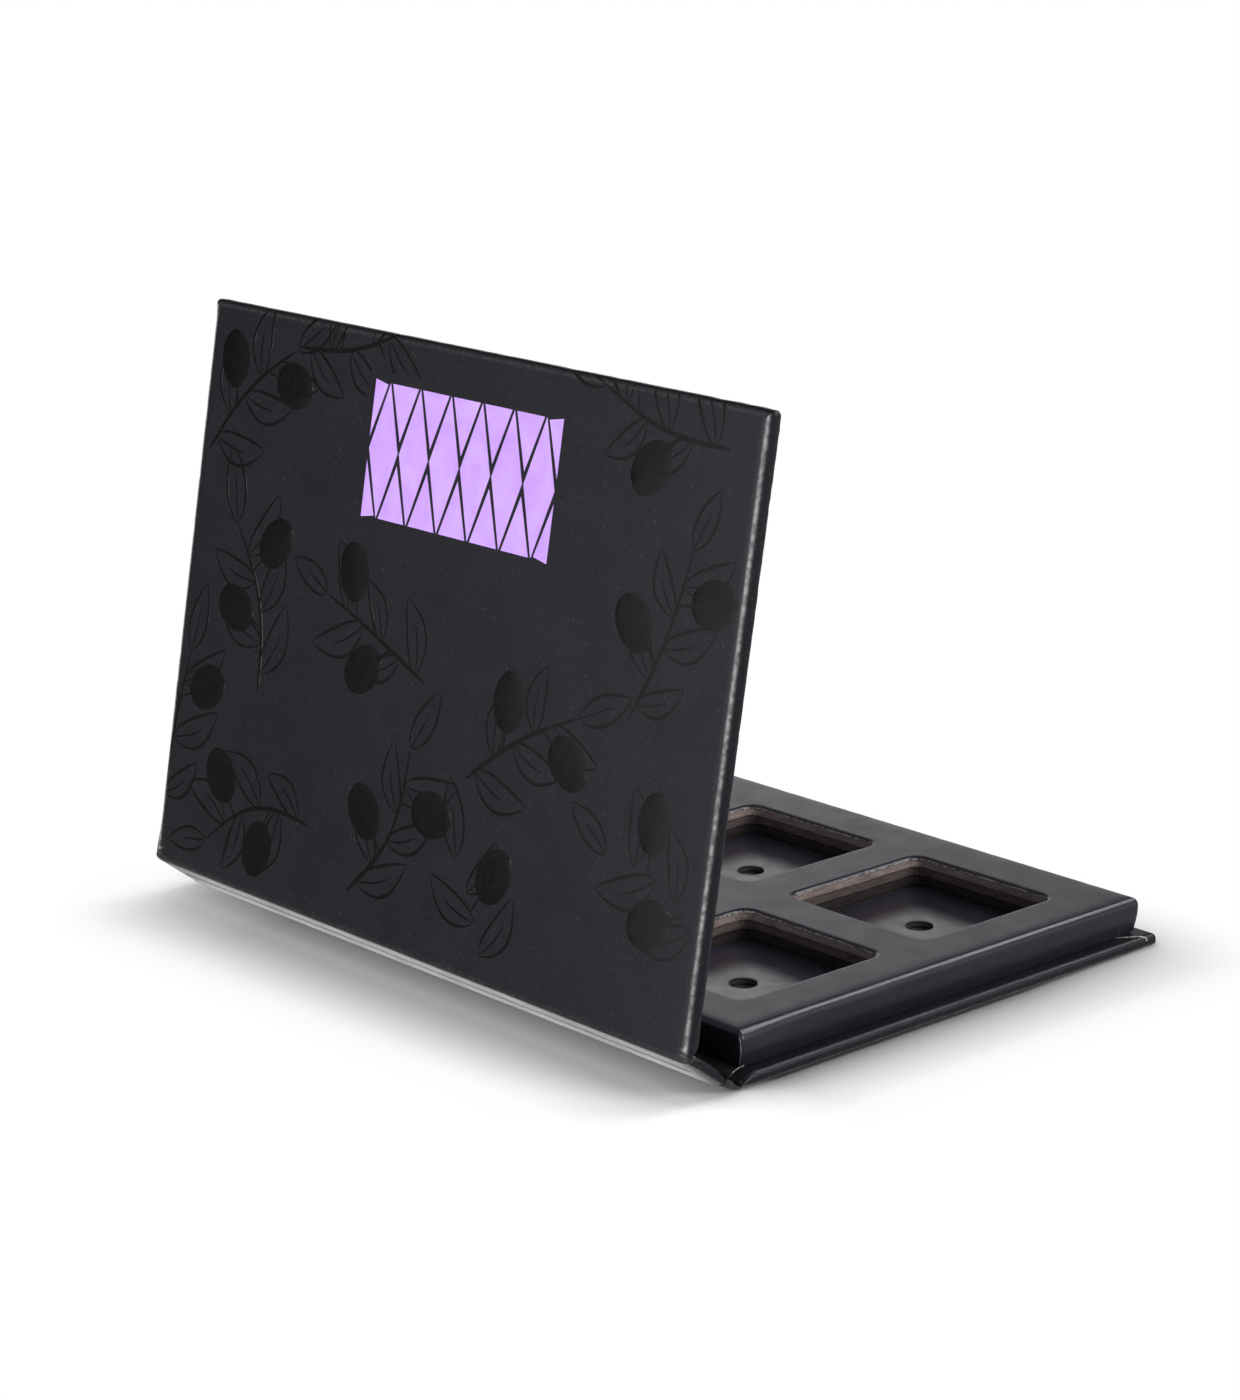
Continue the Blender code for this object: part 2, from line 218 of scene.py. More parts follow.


# %% [markdown]
# ### The floor's paper
#
# Close to the palette's foot the paper is a matt surface that takes shadows, and away from it
# plain white. A contact shadow darkens it where something stands close above it. Reflections see
# the paper too, so its share in them is set on its own: bright under the spine, where the glossy
# fold mirrors it, dark towards the cloths, and painted half dark beyond the palette's -X side, a
# painted shade that the sides mirror.

# %% Measure and light the floor's paper
# The rectangle that the palette stands on, and the distances from it where white starts and is
# full.
FOOT_CENTRE = (-0.005, 0.0075, 0.0)
FOOT_HALF = (0.054, 0.0430, 0.0)
WHITE_FROM = (0.001, 0.022)
# Each fade: its axis, the values before and after it, and where it starts and ends.
HINGE_GLOW = [("Y", 0.0, 0.36, 0.034, 0.048)]
SPINE_GLOW = [
    ("Y", 1.8, 0.0, 0.046, 0.053), ("X", 0.0, 1.0, -0.059, -0.052), ("Y", 0.0, 1.0, 0.032, 0.039),
]
CONTACT_FADES = [
    ("Y", 1.0, 0.46, 0.034, 0.048), ("Y", 0.35, 1.0, -0.052, -0.012), ("X", 1.0, 0.4, 0.035, 0.062),
]
# Beyond the palette's -X side the paper is painted half dark for reflections only: painted shade.
SIDE_SHADE_IN_REFLECTIONS = [("X", 0.50, 0.0, -0.0605, -0.0575)]
CLOTH_ORIGIN = (-0.06, 0.045, 0.0)
CONTACT_REACH = 0.016
CONTACT_SHARE = 0.92
# Openness of the space over the floor where the contact shadow is full.
CONTACT_OPENNESS = 0.60


def distance_from_foot(tree, place):
    """Distance of a place from the rectangle that the palette stands on."""
    outside = vector_step(tree, "SUBTRACT", place, FOOT_CENTRE)
    outside = vector_step(tree, "ABSOLUTE", outside)
    outside = vector_step(tree, "SUBTRACT", outside, FOOT_HALF)
    return vector_step(tree, "LENGTH", vector_step(tree, "MAXIMUM", outside))


def faded(tree, axes, fades, value=1.0):
    """A value times all its fades."""
    for axis, before, after, start, end in fades:
        value = product(tree, value, spread(tree, axes[axis], before, after, start, end))
    return value


def paper_glow(tree, rays, axes):
    """A faint glow beside the hinge for the camera, and a bright one below the spine for
    reflections."""
    beside = faded(tree, axes, HINGE_GLOW, rays["Is Camera Ray"])
    return glow(
        tree, blend_numbers(tree, rays["Is Glossy Ray"], beside, faded(tree, axes, SPINE_GLOW))
    )


def contact_shadow(tree, axes):
    """Share of the contact shadow: weaker past the hinge, at the front and at the far end."""
    inputs = {"Distance": CONTACT_REACH}
    open_share = add_node(tree, "ShaderNodeAmbientOcclusion", inputs, samples=16).outputs["AO"]
    contact = spread(tree, open_share, CONTACT_SHARE, 0.0, CONTACT_OPENNESS, 1.0)
    return faded(tree, axes, CONTACT_FADES, contact)


print("the palette's foot:", [round(2 * half, 3) for half in FOOT_HALF[:2]], "m")


# %% Make the floor's paper
def make_floor_paper():
    """White paper: matt near the palette, plain white away from it, dark towards the cloths, and
    painted half dark past the -X side for reflections, as painted shade.
    """
    paper = bpy.data.materials.new("floor_paper")
    paper.use_nodes = True
    tree = paper.node_tree
    tree.nodes.clear()
    place = add_node(tree, "ShaderNodeTexCoord").outputs["Object"]
    axes = add_node(tree, "ShaderNodeSeparateXYZ", {0: place}).outputs
    rays = add_node(tree, "ShaderNodeLightPath").outputs
    reflected = greater(tree, rays["Is Glossy Ray"], rays["Is Transmission Ray"])
    seen = greater(tree, rays["Is Camera Ray"], reflected)
    far = spread(tree, distance_from_foot(tree, place), 0.0, 1.0, *WHITE_FROM, "SMOOTHSTEP")
    matt = add_node(tree, "ShaderNodeBsdfDiffuse", {"Color": (0.90, 0.90, 0.90, 1)}).outputs[0]
    near = add_node(tree, "ShaderNodeAddShader", {0: matt, 1: paper_glow(tree, rays, axes)})
    white = product(tree, far, seen)
    surface = blend_shaders(tree, white, near.outputs[0], glow(tree, 1.0))
    black = glow(tree, 0.0)
    contact = product(tree, contact_shadow(tree, axes), rays["Is Camera Ray"])
    surface = blend_shaders(tree, contact, surface, black)
    way = vector_step(tree, "SUBTRACT", place, CLOTH_ORIGIN)
    lit = room_light(tree, way, FLOOR_CLOTHS)
    unlit = add_node(tree, "ShaderNodeMath", {0: 1.0, 1: lit}, operation="SUBTRACT").outputs[0]
    dimmed = greater(tree, product(tree, far, unlit), faded(tree, axes, SIDE_SHADE_IN_REFLECTIONS))
    surface = blend_shaders(tree, product(tree, reflected, dimmed), surface, black)
    add_node(tree, "ShaderNodeOutputMaterial", {"Surface": surface})
    print("floor paper:", len(tree.nodes), "nodes")
    return paper


floor = lay_floor()
floor.data.materials.append(make_floor_paper())

# %% Make the world
WORLD_LIGHT = 0.20
CEILING_LIGHT = 0.14
# Height of a way, as the sine of its angle, where the walls end and the ceiling is reached.
WALL_TOP = (0.40, 0.50)


def make_world():
    """White for the camera. Reflections see white walls, a dim ceiling and the black cloths, and
    all other light comes evenly from a weaker white."""
    world = bpy.data.worlds.new("studio")
    bpy.context.scene.world = world
    world.use_nodes = True
    tree = world.node_tree
    tree.nodes.clear()
    rays = add_node(tree, "ShaderNodeLightPath").outputs
    way = add_node(tree, "ShaderNodeTexCoord").outputs["Generated"]
    height = add_node(tree, "ShaderNodeSeparateXYZ", {0: way}).outputs["Z"]
    walls = spread(tree, height, 1.0, CEILING_LIGHT, *WALL_TOP, "SMOOTHSTEP")
    room = product(tree, walls, room_light(tree, way, WALL_CLOTHS))
    reflected = greater(tree, rays["Is Glossy Ray"], rays["Is Transmission Ray"])
    plain = blend_numbers(tree, reflected, WORLD_LIGHT, room)
    strength = greater(tree, rays["Is Camera Ray"], plain)
    inputs = {"Color": (1, 1, 1, 1), "Strength": strength}
    light = add_node(tree, "ShaderNodeBackground", inputs).outputs[0]
    add_node(tree, "ShaderNodeOutputWorld", {"Surface": light})
    print("world:", len(tree.nodes), "nodes")


make_world()

# %% Hang the lamps
# Each lamp: its place and size in metres, and its power in watts.
LAMPS = {
    "hinge_softbox": ((0.16, 0.775, 0.19), (0.26, 0.42), 4.7),
    "rear_softbox": ((-0.19, -0.58, 0.64), (0.40, 0.26), 2.9),
    "side_softbox": ((-0.80, -0.22, 0.50), (0.45, 0.45), 6.0),
}
LAMP_TARGET = Vector((0, 0, 0.03))


def hang_lamps():
    """Large area lamps, all aimed at the palette."""
    for name, (place, size, power) in LAMPS.items():
        lamp = bpy.data.lights.new(name, "AREA")
        lamp.shape = "RECTANGLE"
        lamp.size, lamp.size_y = size
        lamp.energy = power
        holder = bpy.data.objects.new(name, lamp)
        holder.location = place
        aim = LAMP_TARGET - Vector(place)
        holder.rotation_euler = aim.to_track_quat("-Z", "Y").to_euler()
        bpy.context.scene.collection.objects.link(holder)
        print(name, "hangs", round(aim.length, 2), "m away")


hang_lamps()

# %% [markdown]
# ## Surfaces from numbers
#
# Every new piece here is a grid: a table of points with one row for each step across the piece
# and one column for each step along it. Numpy works out the whole table at once, and neighbours
# in the table become the corners of the faces. Grids that share an edge are joined into one
# closed mesh by merging the points that fall on each other.


# %% Number the faces of a grid
def grid_faces(rows, columns):
    """Number the corners of a grid's quads. The last column meets the first."""
    index = np.arange(rows * columns).reshape(rows, columns)
    index = np.concatenate([index, index[:, :1]], 1)
    corners = (index[:-1, :-1], index[:-1, 1:], index[1:, 1:], index[1:, :-1])
    return np.stack([corner.ravel() for corner in corners], 1)


# %% Build a mesh from grids
# Points nearer to each other than this, in metres, are merged.
MERGE = 4e-7


def patch(table, finish=0, wear=0.0):
    """One grid for build_mesh: its points, the finish number of its faces, and its rubbing and
    painted highlight.
    """
    rows, columns = table.shape[:2]
    return {
        "points": table.reshape(-1, 3),
        "faces": grid_faces(rows, columns),
        "finish": np.broadcast_to(finish, (rows - 1, columns)).ravel(),
        "wear": np.broadcast_to(wear, (rows, columns)).ravel(),
    }


def cap(loop, finish=0):
    """One flat face that fills a loop of points."""
    return {
        "points": loop,
        "faces": np.arange(len(loop))[None],
        "finish": np.array([finish]),
        "wear": np.zeros(len(loop)),
    }


def build_mesh(name, patches, finishes, sharp=38.0):
    """Join patches and caps into one mesh object, and report whether it is closed."""
    starts = np.cumsum([0] + [len(part["points"]) for part in patches])
    faces = []
    for start, part in zip(starts, patches):
        faces += (part["faces"] + start).tolist()
    points, finish, wear = (
        np.concatenate([part[key] for part in patches]) for key in ("points", "finish", "wear")
    )
    mesh = bpy.data.meshes.new(name)
    mesh.from_pydata(points.tolist(), [], faces)
    mesh.polygons.foreach_set("material_index", finish.astype(np.int32))
    layer = mesh.attributes.new("wear", "FLOAT", "POINT")
    layer.data.foreach_set("value", wear.astype(np.float32))
    builder = bmesh.new()
    builder.from_mesh(mesh)
    bmesh.ops.remove_doubles(builder, verts=builder.verts, dist=MERGE)
    bmesh.ops.recalc_face_normals(builder, faces=builder.faces)
    open_edges = sum(len(edge.link_faces) != 2 for edge in builder.edges)
    builder.to_mesh(mesh)
    builder.free()
    for finish in finishes:
        mesh.materials.append(finish)
    mesh.shade_smooth()
    mesh.set_sharp_from_angle(angle=math.radians(sharp))
    piece = bpy.data.objects.new(name, mesh)
    bpy.context.scene.collection.objects.link(piece)
    print(f"{name}: {len(mesh.polygons)} faces, {open_edges} open edges")
    return piece


# %% [markdown]
# ## Where the panels lie
#
# Each cover panel has its own coordinates: x along the hinge, "along" from the crease to the
# free edge, and "rise" over its outer face. The joints of the CAD model say where the creases
# are and how far each panel is turned, so nothing here is placed by eye.


# %% Panel coordinates
joints = {joint["name"]: joint for joint in frame["joints"]}
LOWER_CREASE = joints["spine_crease"]["pos_m"]
UPPER_CREASE = joints["lid_crease"]["pos_m"]
CREASE_RISE = LOWER_CREASE[2]
SPINE_TURN = -math.radians(joints["spine_crease"]["range_deg"][0])
LID_TURN = SPINE_TURN - math.radians(joints["lid_crease"]["range_deg"][0])
SPINE_LENGTH = math.dist(LOWER_CREASE, UPPER_CREASE)
HALF_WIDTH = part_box("base_wrap")[1].x
PANELS = {
    "base": (LOWER_CREASE, (-1.0, 0.0), (0.0, 1.0)),
    "spine": (
        LOWER_CREASE,
        (math.cos(SPINE_TURN), math.sin(SPINE_TURN)),
        (-math.sin(SPINE_TURN), math.cos(SPINE_TURN)),
    ),
    "lid": (
        UPPER_CREASE,
        (math.cos(LID_TURN), math.sin(LID_TURN)),
        (-math.sin(LID_TURN), math.cos(LID_TURN)),
    ),
}


def on_panel(panel, places, rise):
    """Turn places (x, along) and rises of a panel into the palette's coordinates:
    crease + along * the panel's way + (rise - rise of the crease) * the way up from it."""
    crease, along_way, rise_way = PANELS[panel]
    along, height = places[..., 1], rise - CREASE_RISE
    y = crease[1] + along * along_way[0] + height * rise_way[0]
    z = crease[2] + along * along_way[1] + height * rise_way[1]
    return np.stack(np.broadcast_arrays(places[..., 0], y, z), -1)


def panel_reach(panel, node):
    """Tell how far along its panel a CAD node starts and ends."""
    crease, along_way, _ = PANELS[panel]
    places = np.array([v.co for v in frame["nodes"][node].data.vertices])
    reach = (places[:, 1] - crease[1]) * along_way[0] + (places[:, 2] - crease[2]) * along_way[1]
    return float(reach.min()), float(reach.max())


LEAF_DEPTH = {leaf: panel_reach(leaf, f"{leaf}_wrap")[1] for leaf in ("base", "lid")}
print("spine", round(math.degrees(SPINE_TURN), 1), "lid", round(math.degrees(LID_TURN), 1))
print("depths", {leaf: round(depth / MM, 2) for leaf, depth in LEAF_DEPTH.items()})

# %% [markdown]
# ## Handwork is uneven
#
# A palette like this is wrapped by hand or on a small machine, so its arrises wander by a few
# hundredths of a millimetre and carry small dents. A sum of waves of unlike length gives the
# wandering. It depends only on the place, so neighbouring faces agree.


# %% Uneven surfaces
def uneven(places, waves, seed):
    """Sum of waves over places: each has a length, a height, and a random way and start."""
    random = np.random.default_rng(seed)
    total = np.zeros(places.shape[:-1])
    for length, height in waves:
        way = random.normal(size=places.shape[-1])
        way /= np.linalg.norm(way) * length
        total += height * np.sin(math.tau * (places @ way + random.random()))
    return total


def dents(places, centres, width):
    """Sum of round dents of height 1: e to the power of minus (distance / width) squared."""
    total = np.zeros(places.shape[:-1])
    for centre in centres:
        total += np.exp(-(((places - centre) / width) ** 2).sum(-1))
    return total


# %% [markdown]
# ## Rings: rounded rectangles with equal counts
#
# Boards, papers and windows are all rounded rectangles. A ring has the same number of points
# whatever its size, so that rings of different size can be joined like the hoops of a barrel.
# Each point lies on a corner's arc or on the straight run between two corners.

# %% Lay out a ring
CORNER_TURNS = np.radians([225.0, 315.0, 45.0, 135.0])
CORNER_SIDES = np.array([(-1, -1), (1, -1), (1, 1), (-1, 1)])
CORNER_INSETS = np.array([(0, 1), (2, 1), (2, 3), (0, 3)])


def ring_plan(side_steps, arc_steps):
    """For each point of a ring: the two corners it lies between, its turn on the arc of each,
    and its share of the straight run. Half a corner takes arc_steps steps."""
    first, first_turn, second, second_turn, share = [], [], [], [], []
    for corner, steps in enumerate(side_steps):
        step = np.arange(steps)
        after = np.clip(step, 0, arc_steps) / arc_steps
        before = np.clip(steps - step, 0, arc_steps) / arc_steps
        following = (corner + 1) % 4
        first.append(np.full(steps, corner))
        second.append(np.full(steps, following))
        first_turn.append(CORNER_TURNS[corner] + after * math.pi / 4)
        second_turn.append(CORNER_TURNS[following] - before * math.pi / 4)
        share.append(np.clip((step - arc_steps) / (steps - 2 * arc_steps), 0, 1))
    return [np.concatenate(part) for part in (first, first_turn, second, second_turn, share)]


def ring(plan, low, high, inset, radius):
    """Rings of a rectangle from low to high, each drawn in by its inset, with its own corner
    radius. The result has one row for each inset. A row may give four insets, for the low x,
    low along, high x and high along side, and four radii, for the corners."""
    first, first_turn, second, second_turn, share = plan
    inset, radius = np.asarray(inset, float), np.asarray(radius, float)
    rows = len(inset)
    inset = np.broadcast_to(inset.reshape(rows, -1), (rows, 4))
    radius = np.broadcast_to(radius.reshape(rows, -1), (rows, 4))
    low, high = np.asarray(low, float), np.asarray(high, float)
    middle, half = (low + high) / 2, (high - low) / 2

    def corner_point(corner, turn):
        way = np.stack([np.cos(turn), np.sin(turn)], 1)
        own = radius[:, corner, None]
        reach = half - inset[:, CORNER_INSETS[corner]] - own
        return middle + CORNER_SIDES[corner] * reach + way * own

    return corner_point(first, first_turn) * (1 - share[:, None]) + (
        corner_point(second, second_turn) * share[:, None]
    )


# %% [markdown]
# ## Cells: a sheet with windows
#
# The tray has three by two wells. A sheet with holes is cut into equal cells, one round each
# hole, and each cell is a set of rings between the hole and the cell's square edge. The rings of
# the sheet's border start on the outer edge of the cells.

# %% Lay out the cells
WELLS = [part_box(f"well_floor_{number}") for number in range(1, 7)]
WELL_CENTRES = np.array(
    [((low.x + high.x) / 2, LOWER_CREASE[1] - (low.y + high.y) / 2) for low, high in WELLS]
)
HALF_CELL = abs(WELL_CENTRES[1, 0] - WELL_CENTRES[0, 0]) / 2
HALF_WINDOW = 0.0135
WINDOW_CORNER = 0.0020
CELL_STEPS = 48
CELL_ARC = 10
CELL_PLAN = ring_plan([CELL_STEPS] * 4, CELL_ARC)
BORDER_STEPS = (3 * CELL_STEPS, 2 * CELL_STEPS, 3 * CELL_STEPS, 2 * CELL_STEPS)
BORDER_PLAN = ring_plan(BORDER_STEPS, 8)


def cell_shares():
    """Places of the points on a cell's side, from -1 to 1: close together next to a corner,
    where the window's corner needs them, and even between."""
    step = np.arange(CELL_STEPS + 1)
    straight = (HALF_WINDOW - WINDOW_CORNER) / HALF_CELL
    marks = (0, CELL_ARC, CELL_STEPS - CELL_ARC, CELL_STEPS)
    return np.interp(step, marks, (-1, -straight, straight, 1))


def cell_edge(centre):
    """The square outline of one cell."""
    side = cell_shares()[:-1] * HALF_CELL
    full = np.full_like(side, HALF_CELL)
    x = np.concatenate([side, full, -side, -full])
    along = np.concatenate([-full, side, full, -side])
    return centre + np.stack([x, along], 1)


def border_edge():
    """The outline of all the cells together, in the order of BORDER_PLAN."""
    side = (cell_shares()[:-1] + 1) * HALF_CELL
    low = WELL_CENTRES.min(0) - HALF_CELL
    high = WELL_CENTRES.max(0) + HALF_CELL
    cells_x, cells_along = np.arange(3)[:, None], np.arange(2)[:, None]
    run_x = (cells_x * 2 * HALF_CELL + side).ravel()
    run_along = (cells_along * 2 * HALF_CELL + side).ravel()
    x = np.concatenate(
        [low[0] + run_x, np.full(run_along.size, high[0]), high[0] - run_x,
         np.full(run_along.size, low[0])]
    )
    along = np.concatenate(
        [np.full(run_x.size, low[1]), low[1] + run_along, np.full(run_x.size, high[1]),
         high[1] - run_along]
    )
    return np.stack([x, along], 1)


def window_rings(centre, offsets):
    """Rounded squares round a well's window, each wider by its offset."""
    half = np.array([HALF_WINDOW, HALF_WINDOW])
    offsets = np.asarray(offsets, float)
    return ring(CELL_PLAN, centre - half, centre + half, -offsets, WINDOW_CORNER + offsets)


def round_rings(centre, radii):
    """Circles round a centre, with their points turned like a cell's."""
    step = np.arange(CELL_STEPS) / CELL_STEPS * math.pi / 2
    turn = (CORNER_TURNS[:, None] + step).ravel()
    way = np.stack([np.cos(turn), np.sin(turn)], 1)
    return centre + np.asarray(radii, float)[:, None, None] * way


print("cells:", len(WELLS), "of", round(2 * HALF_CELL / MM, 2), "mm")

# %% [markdown]
# ## The wrap of a cover panel
#
# The printed paper goes round the board like the paper of a parcel: over the outer face, round
# the edge, and a little way back on the inner face. Its section is one closed outline of a thin
# sheet, which is carried round the panel's ring. At a crease there is no edge to go round, so
# there the section is a plain sheet, and the panel tapers to it in a short nose.

# %% Heights and sizes of the wrap
PAPER = 0.15 * MM
FACE = 0.03 * MM
# Above this rise lies everything that a nose draws down: all but the wrap's lower sheet.
BODY = FACE + PAPER
TURN_IN_TOP = 1.76 * MM
HIDDEN_TURN_IN = 5.0 * MM
OUTER_ARRISES = {"base": 0.28 * MM, "spine": 0.28 * MM, "lid": 1.15 * MM}
INNER_ARRISES = {"base": 0.80 * MM, "spine": 0.35 * MM, "lid": 0.30 * MM}
CREASE_ARRIS = 0.10 * MM
INNER_CREASE_ARRIS = 0.05 * MM
WRAP_CORNER = 0.75 * MM
LEAST_CORNER = 0.12 * MM
# Steps inward from an edge, close together where a nose curves most.
EDGE_STEPS = np.array([0.05, 0.15, 0.3, 0.5, 0.75, 1.05, 1.4, 1.8, 2.3, 2.8, 3.4]) * MM
# For each panel's crease end: how far off the crease its foot stands, and how long its nose is.
NOSES = {
    "base": (1.75 * MM, 3.0 * MM),
    "spine": (1.75 * MM, 2.2 * MM),
    "spine_top": (0.8 * MM, 1.7 * MM),
    "lid": (0.8 * MM, 1.5 * MM),
}
NOSE_FLOOR = 0.10
# At both ends of the hinge the spine's nose is longer, and starts higher.
PADDED_FLOOR = 0.66
PADDED_LENGTH = 4.2 * MM
PANEL_ENDS = {
    "base": (NOSES["base"][0], LEAF_DEPTH["base"]),
    "lid": (NOSES["lid"][0], LEAF_DEPTH["lid"]),
    "spine": (NOSES["spine"][0], SPINE_LENGTH - NOSES["spine_top"][0]),
}
print("panel ends:", {name: np.round(np.array(ends) / MM, 2) for name, ends in PANEL_ENDS.items()})


# %% Noses
def smooth_share(value, start, end):
    """0 before start and 1 after end, with a smooth step between them."""
    share = np.clip((value - start) / (end - start), 0, 1)
    return share**2 * (3 - 2 * share)


def fullness(x):
    """1 near both ends of the hinge, where turned-in paper pads the fold, and 0 between."""
    return smooth_share(np.abs(x), HALF_WIDTH - 2.6 * MM, HALF_WIDTH - 1.2 * MM)


def rounded(distance, length, floor=NOSE_FLOOR, power=0.5):
    """Rise from a floor to 1: 1 minus the square of (1 - distance / length), to a power."""
    short = 1 - np.clip(distance / length, 0, 1)
    return floor + (1 - floor) * (1 - short**2) ** power


def nose(panel, places):
    """Height share of a panel near its crease: a rounded rise from its foot, 1 past the nose."""
    along = places[..., 1]
    foot, length = NOSES[panel]
    if panel == "base":
        return rounded(along - foot, length, power=0.75)
    share = rounded(along - foot, length)
    if panel == "spine":
        padded = rounded(along - foot, PADDED_LENGTH, PADDED_FLOOR, 1.0)
        full = fullness(places[..., 0])
        share = share * (1 - full) + padded * full
        foot, length = NOSES["spine_top"]
        share = np.minimum(share, rounded(SPINE_LENGTH - foot - along, length))
    return share


def follow_nose(panel, places, rise):
    """Draw everything above the wrap's lower sheet down towards the crease."""
    return np.where(rise > BODY, BODY + (rise - BODY) * nose(panel, places), rise)


print("height shares along a nose:", np.round(rounded(np.linspace(0, 1, 6), 1), 2))


# %% The section of the wrap
def arc_share(steps):
    """Cosine and sine of a quarter turn in even steps."""
    turn = np.linspace(0, math.pi / 2, steps + 1)
    return np.cos(turn), np.sin(turn)


def wrap_section(flat_insets, outer_arris, inner_arris):
    """The sheet's closed outline as (inset, rise): outer skin to the turn-in, and back inside.

    A second outline, with as many points, is for a crease. There the outer arris is left out and
    the inner one is tight.
    """
    top, inside_top = TURN_IN_TOP, TURN_IN_TOP - PAPER
    outer_cos, outer_sin = arc_share(8)
    inner_cos, inner_sin = arc_share(6)
    edge = np.linspace(0, 1, 6)[1:-1]
    low, high = FACE + outer_arris, top - inner_arris
    wall = low + (high - low) * edge
    tight = top - CREASE_ARRIS
    turned_in = np.append(inner_arris + 0.8 * EDGE_STEPS[1:], HIDDEN_TURN_IN)
    plain = np.append(EDGE_STEPS[1:], HIDDEN_TURN_IN)
    # Each run is (inset, rise) of the edge's outline and (inset, rise) of the crease's.
    outside = [
        (flat_insets, FACE, flat_insets, FACE),
        (outer_arris * (1 - outer_sin), FACE + outer_arris * (1 - outer_cos),
         outer_arris * np.linspace(1, 0, 9), FACE),
        (0, wall, 0, low + (tight - low) * edge),
        (inner_arris * (1 - inner_cos), high + inner_arris * inner_sin,
         CREASE_ARRIS * (1 - inner_cos), tight + CREASE_ARRIS * inner_sin),
        (turned_in, top, plain, top),
    ]
    inner, outer = inner_arris - PAPER, outer_arris - PAPER
    small, tight = INNER_CREASE_ARRIS, inside_top - INNER_CREASE_ARRIS
    inside = [
        (flat_insets, BODY, flat_insets, BODY),
        (PAPER + outer * (1 - outer_sin), BODY + outer * (1 - outer_cos),
         np.linspace(outer_arris, PAPER, 9), BODY),
        (PAPER, wall, PAPER, low + (tight - low) * edge),
        (PAPER + inner * (1 - inner_cos), high + inner * inner_sin,
         PAPER + small * (1 - inner_cos), inside_top - small * (1 - inner_sin)),
        (turned_in, inside_top, plain, inside_top),
    ]
    runs = [np.stack(np.broadcast_arrays(*run), 1) for run in outside]
    runs += [np.stack(np.broadcast_arrays(*run), 1)[::-1] for run in inside[::-1]]
    outline = np.concatenate(runs)
    return outline[:, :2], outline[:, 2:]


section = wrap_section(EDGE_STEPS[::-1], OUTER_ARRISES["lid"], INNER_ARRISES["lid"])[0]
print("the lid's section:", len(section), "points, up to", round(section.max() / MM, 2), "mm")


# %% Carry the section round a panel
FLAT_INSETS = np.array([4.0, 2.6, 2.25, 1.9, 1.6, 1.3, 1.05, 0.8, 0.6, 0.42]) * MM
# The last flat inset lies this far inside the outer arris.
ARRIS_GAP = 0.12 * MM


def crease_weight(plan, panel):
    """0 on a panel's free sides and 1 where its ring follows a crease."""
    first, _, _, _, share = plan
    on_crease = (first == 0) | ((first == 2) & (panel == "spine"))
    return np.where(on_crease & (share > 0) & (share < 1), 1.0, 0.0)


def corner_radii(panel, corner, inset):
    """Four corner radii for each inset: round at a panel's free corners, square at a crease."""
    radius = np.full((len(inset), 4), LEAST_CORNER)
    if panel != "spine":
        radius[:, 2:] = np.maximum(corner - inset, LEAST_CORNER)[:, None]
    return radius


def lay_section(panel, plan, arris):
    """Places and rises of a wrap with one outer arris, and the inset of each row."""
    start, end = PANEL_ENDS[panel]
    share = (FLAT_INSETS[0] - FLAT_INSETS) / (FLAT_INSETS[0] - FLAT_INSETS[-1])
    flat = FLAT_INSETS[0] - share * (FLAT_INSETS[0] - ARRIS_GAP - arris)
    outline, crease = wrap_section(flat, arris, INNER_ARRISES[panel])
    radius = corner_radii(panel, WRAP_CORNER, outline[:, 0])
    far = crease if panel == "spine" else outline
    insets = np.stack([outline[:, 0], crease[:, 0], outline[:, 0], far[:, 0]], 1)
    places = ring(plan, (-HALF_WIDTH, start), (HALF_WIDTH, end), insets, radius)
    weight = crease_weight(plan, panel)
    return places, outline[:, 1:] * (1 - weight) + crease[:, 1:] * weight, outline[:, :1]


rows, columns = lay_section("lid", BORDER_PLAN, OUTER_ARRISES["lid"])[1].shape
print("the lid's wrap:", rows, "rows of", columns, "points")

# %% [markdown]
# ### Use, and painted highlights, on the arrises
#
# The outer face falls off a little towards its free edges, where the board was pressed when it
# was cut. The film is painted pale on the ridge of the outer arris and next to the creases,
# partly as rubbing and partly as a painted highlight.

# %% Pressed rims, and rims painted pale as rubbing and highlight
RIM_DROPS = {"base": 0.16 * MM, "spine": 0.34 * MM, "lid": 0.26 * MM}
RIM_WIDTH = 2.3 * MM
PRESSED_DEPTH = 1.4 * MM
# How pale each panel's rims are painted, as rubbing and as a painted highlight.
WEAR_AND_HIGHLIGHT_SHARES = {"base": 0.5, "spine": 0.25, "lid": 1.0}
ARRIS_WAVES = [(9 * MM, 0.018 * MM), (4.1 * MM, 0.020 * MM), (1.9 * MM, 0.012 * MM)]
DENT_COUNT = 26
DENT_DEPTH = 0.05 * MM
DENT_WIDTH = 0.9 * MM


def press_rim(panel, places, rise, drop=None):
    """Let the outer face fall off towards the free edges: RIM_DROPS * (1 - inset / RIM_WIDTH)
    to the power of 2.4, and less and less towards the inner face."""
    inset = HALF_WIDTH - np.abs(places[..., 0])
    if panel != "spine":
        inset = np.minimum(inset, PANEL_ENDS[panel][1] - places[..., 1])
    drop = RIM_DROPS[panel] if drop is None else drop
    drop = drop * np.clip(1 - inset / RIM_WIDTH, 0, 1) ** 2.4
    return rise + drop * np.clip(1 - (rise - FACE) / PRESSED_DEPTH, 0, 1)


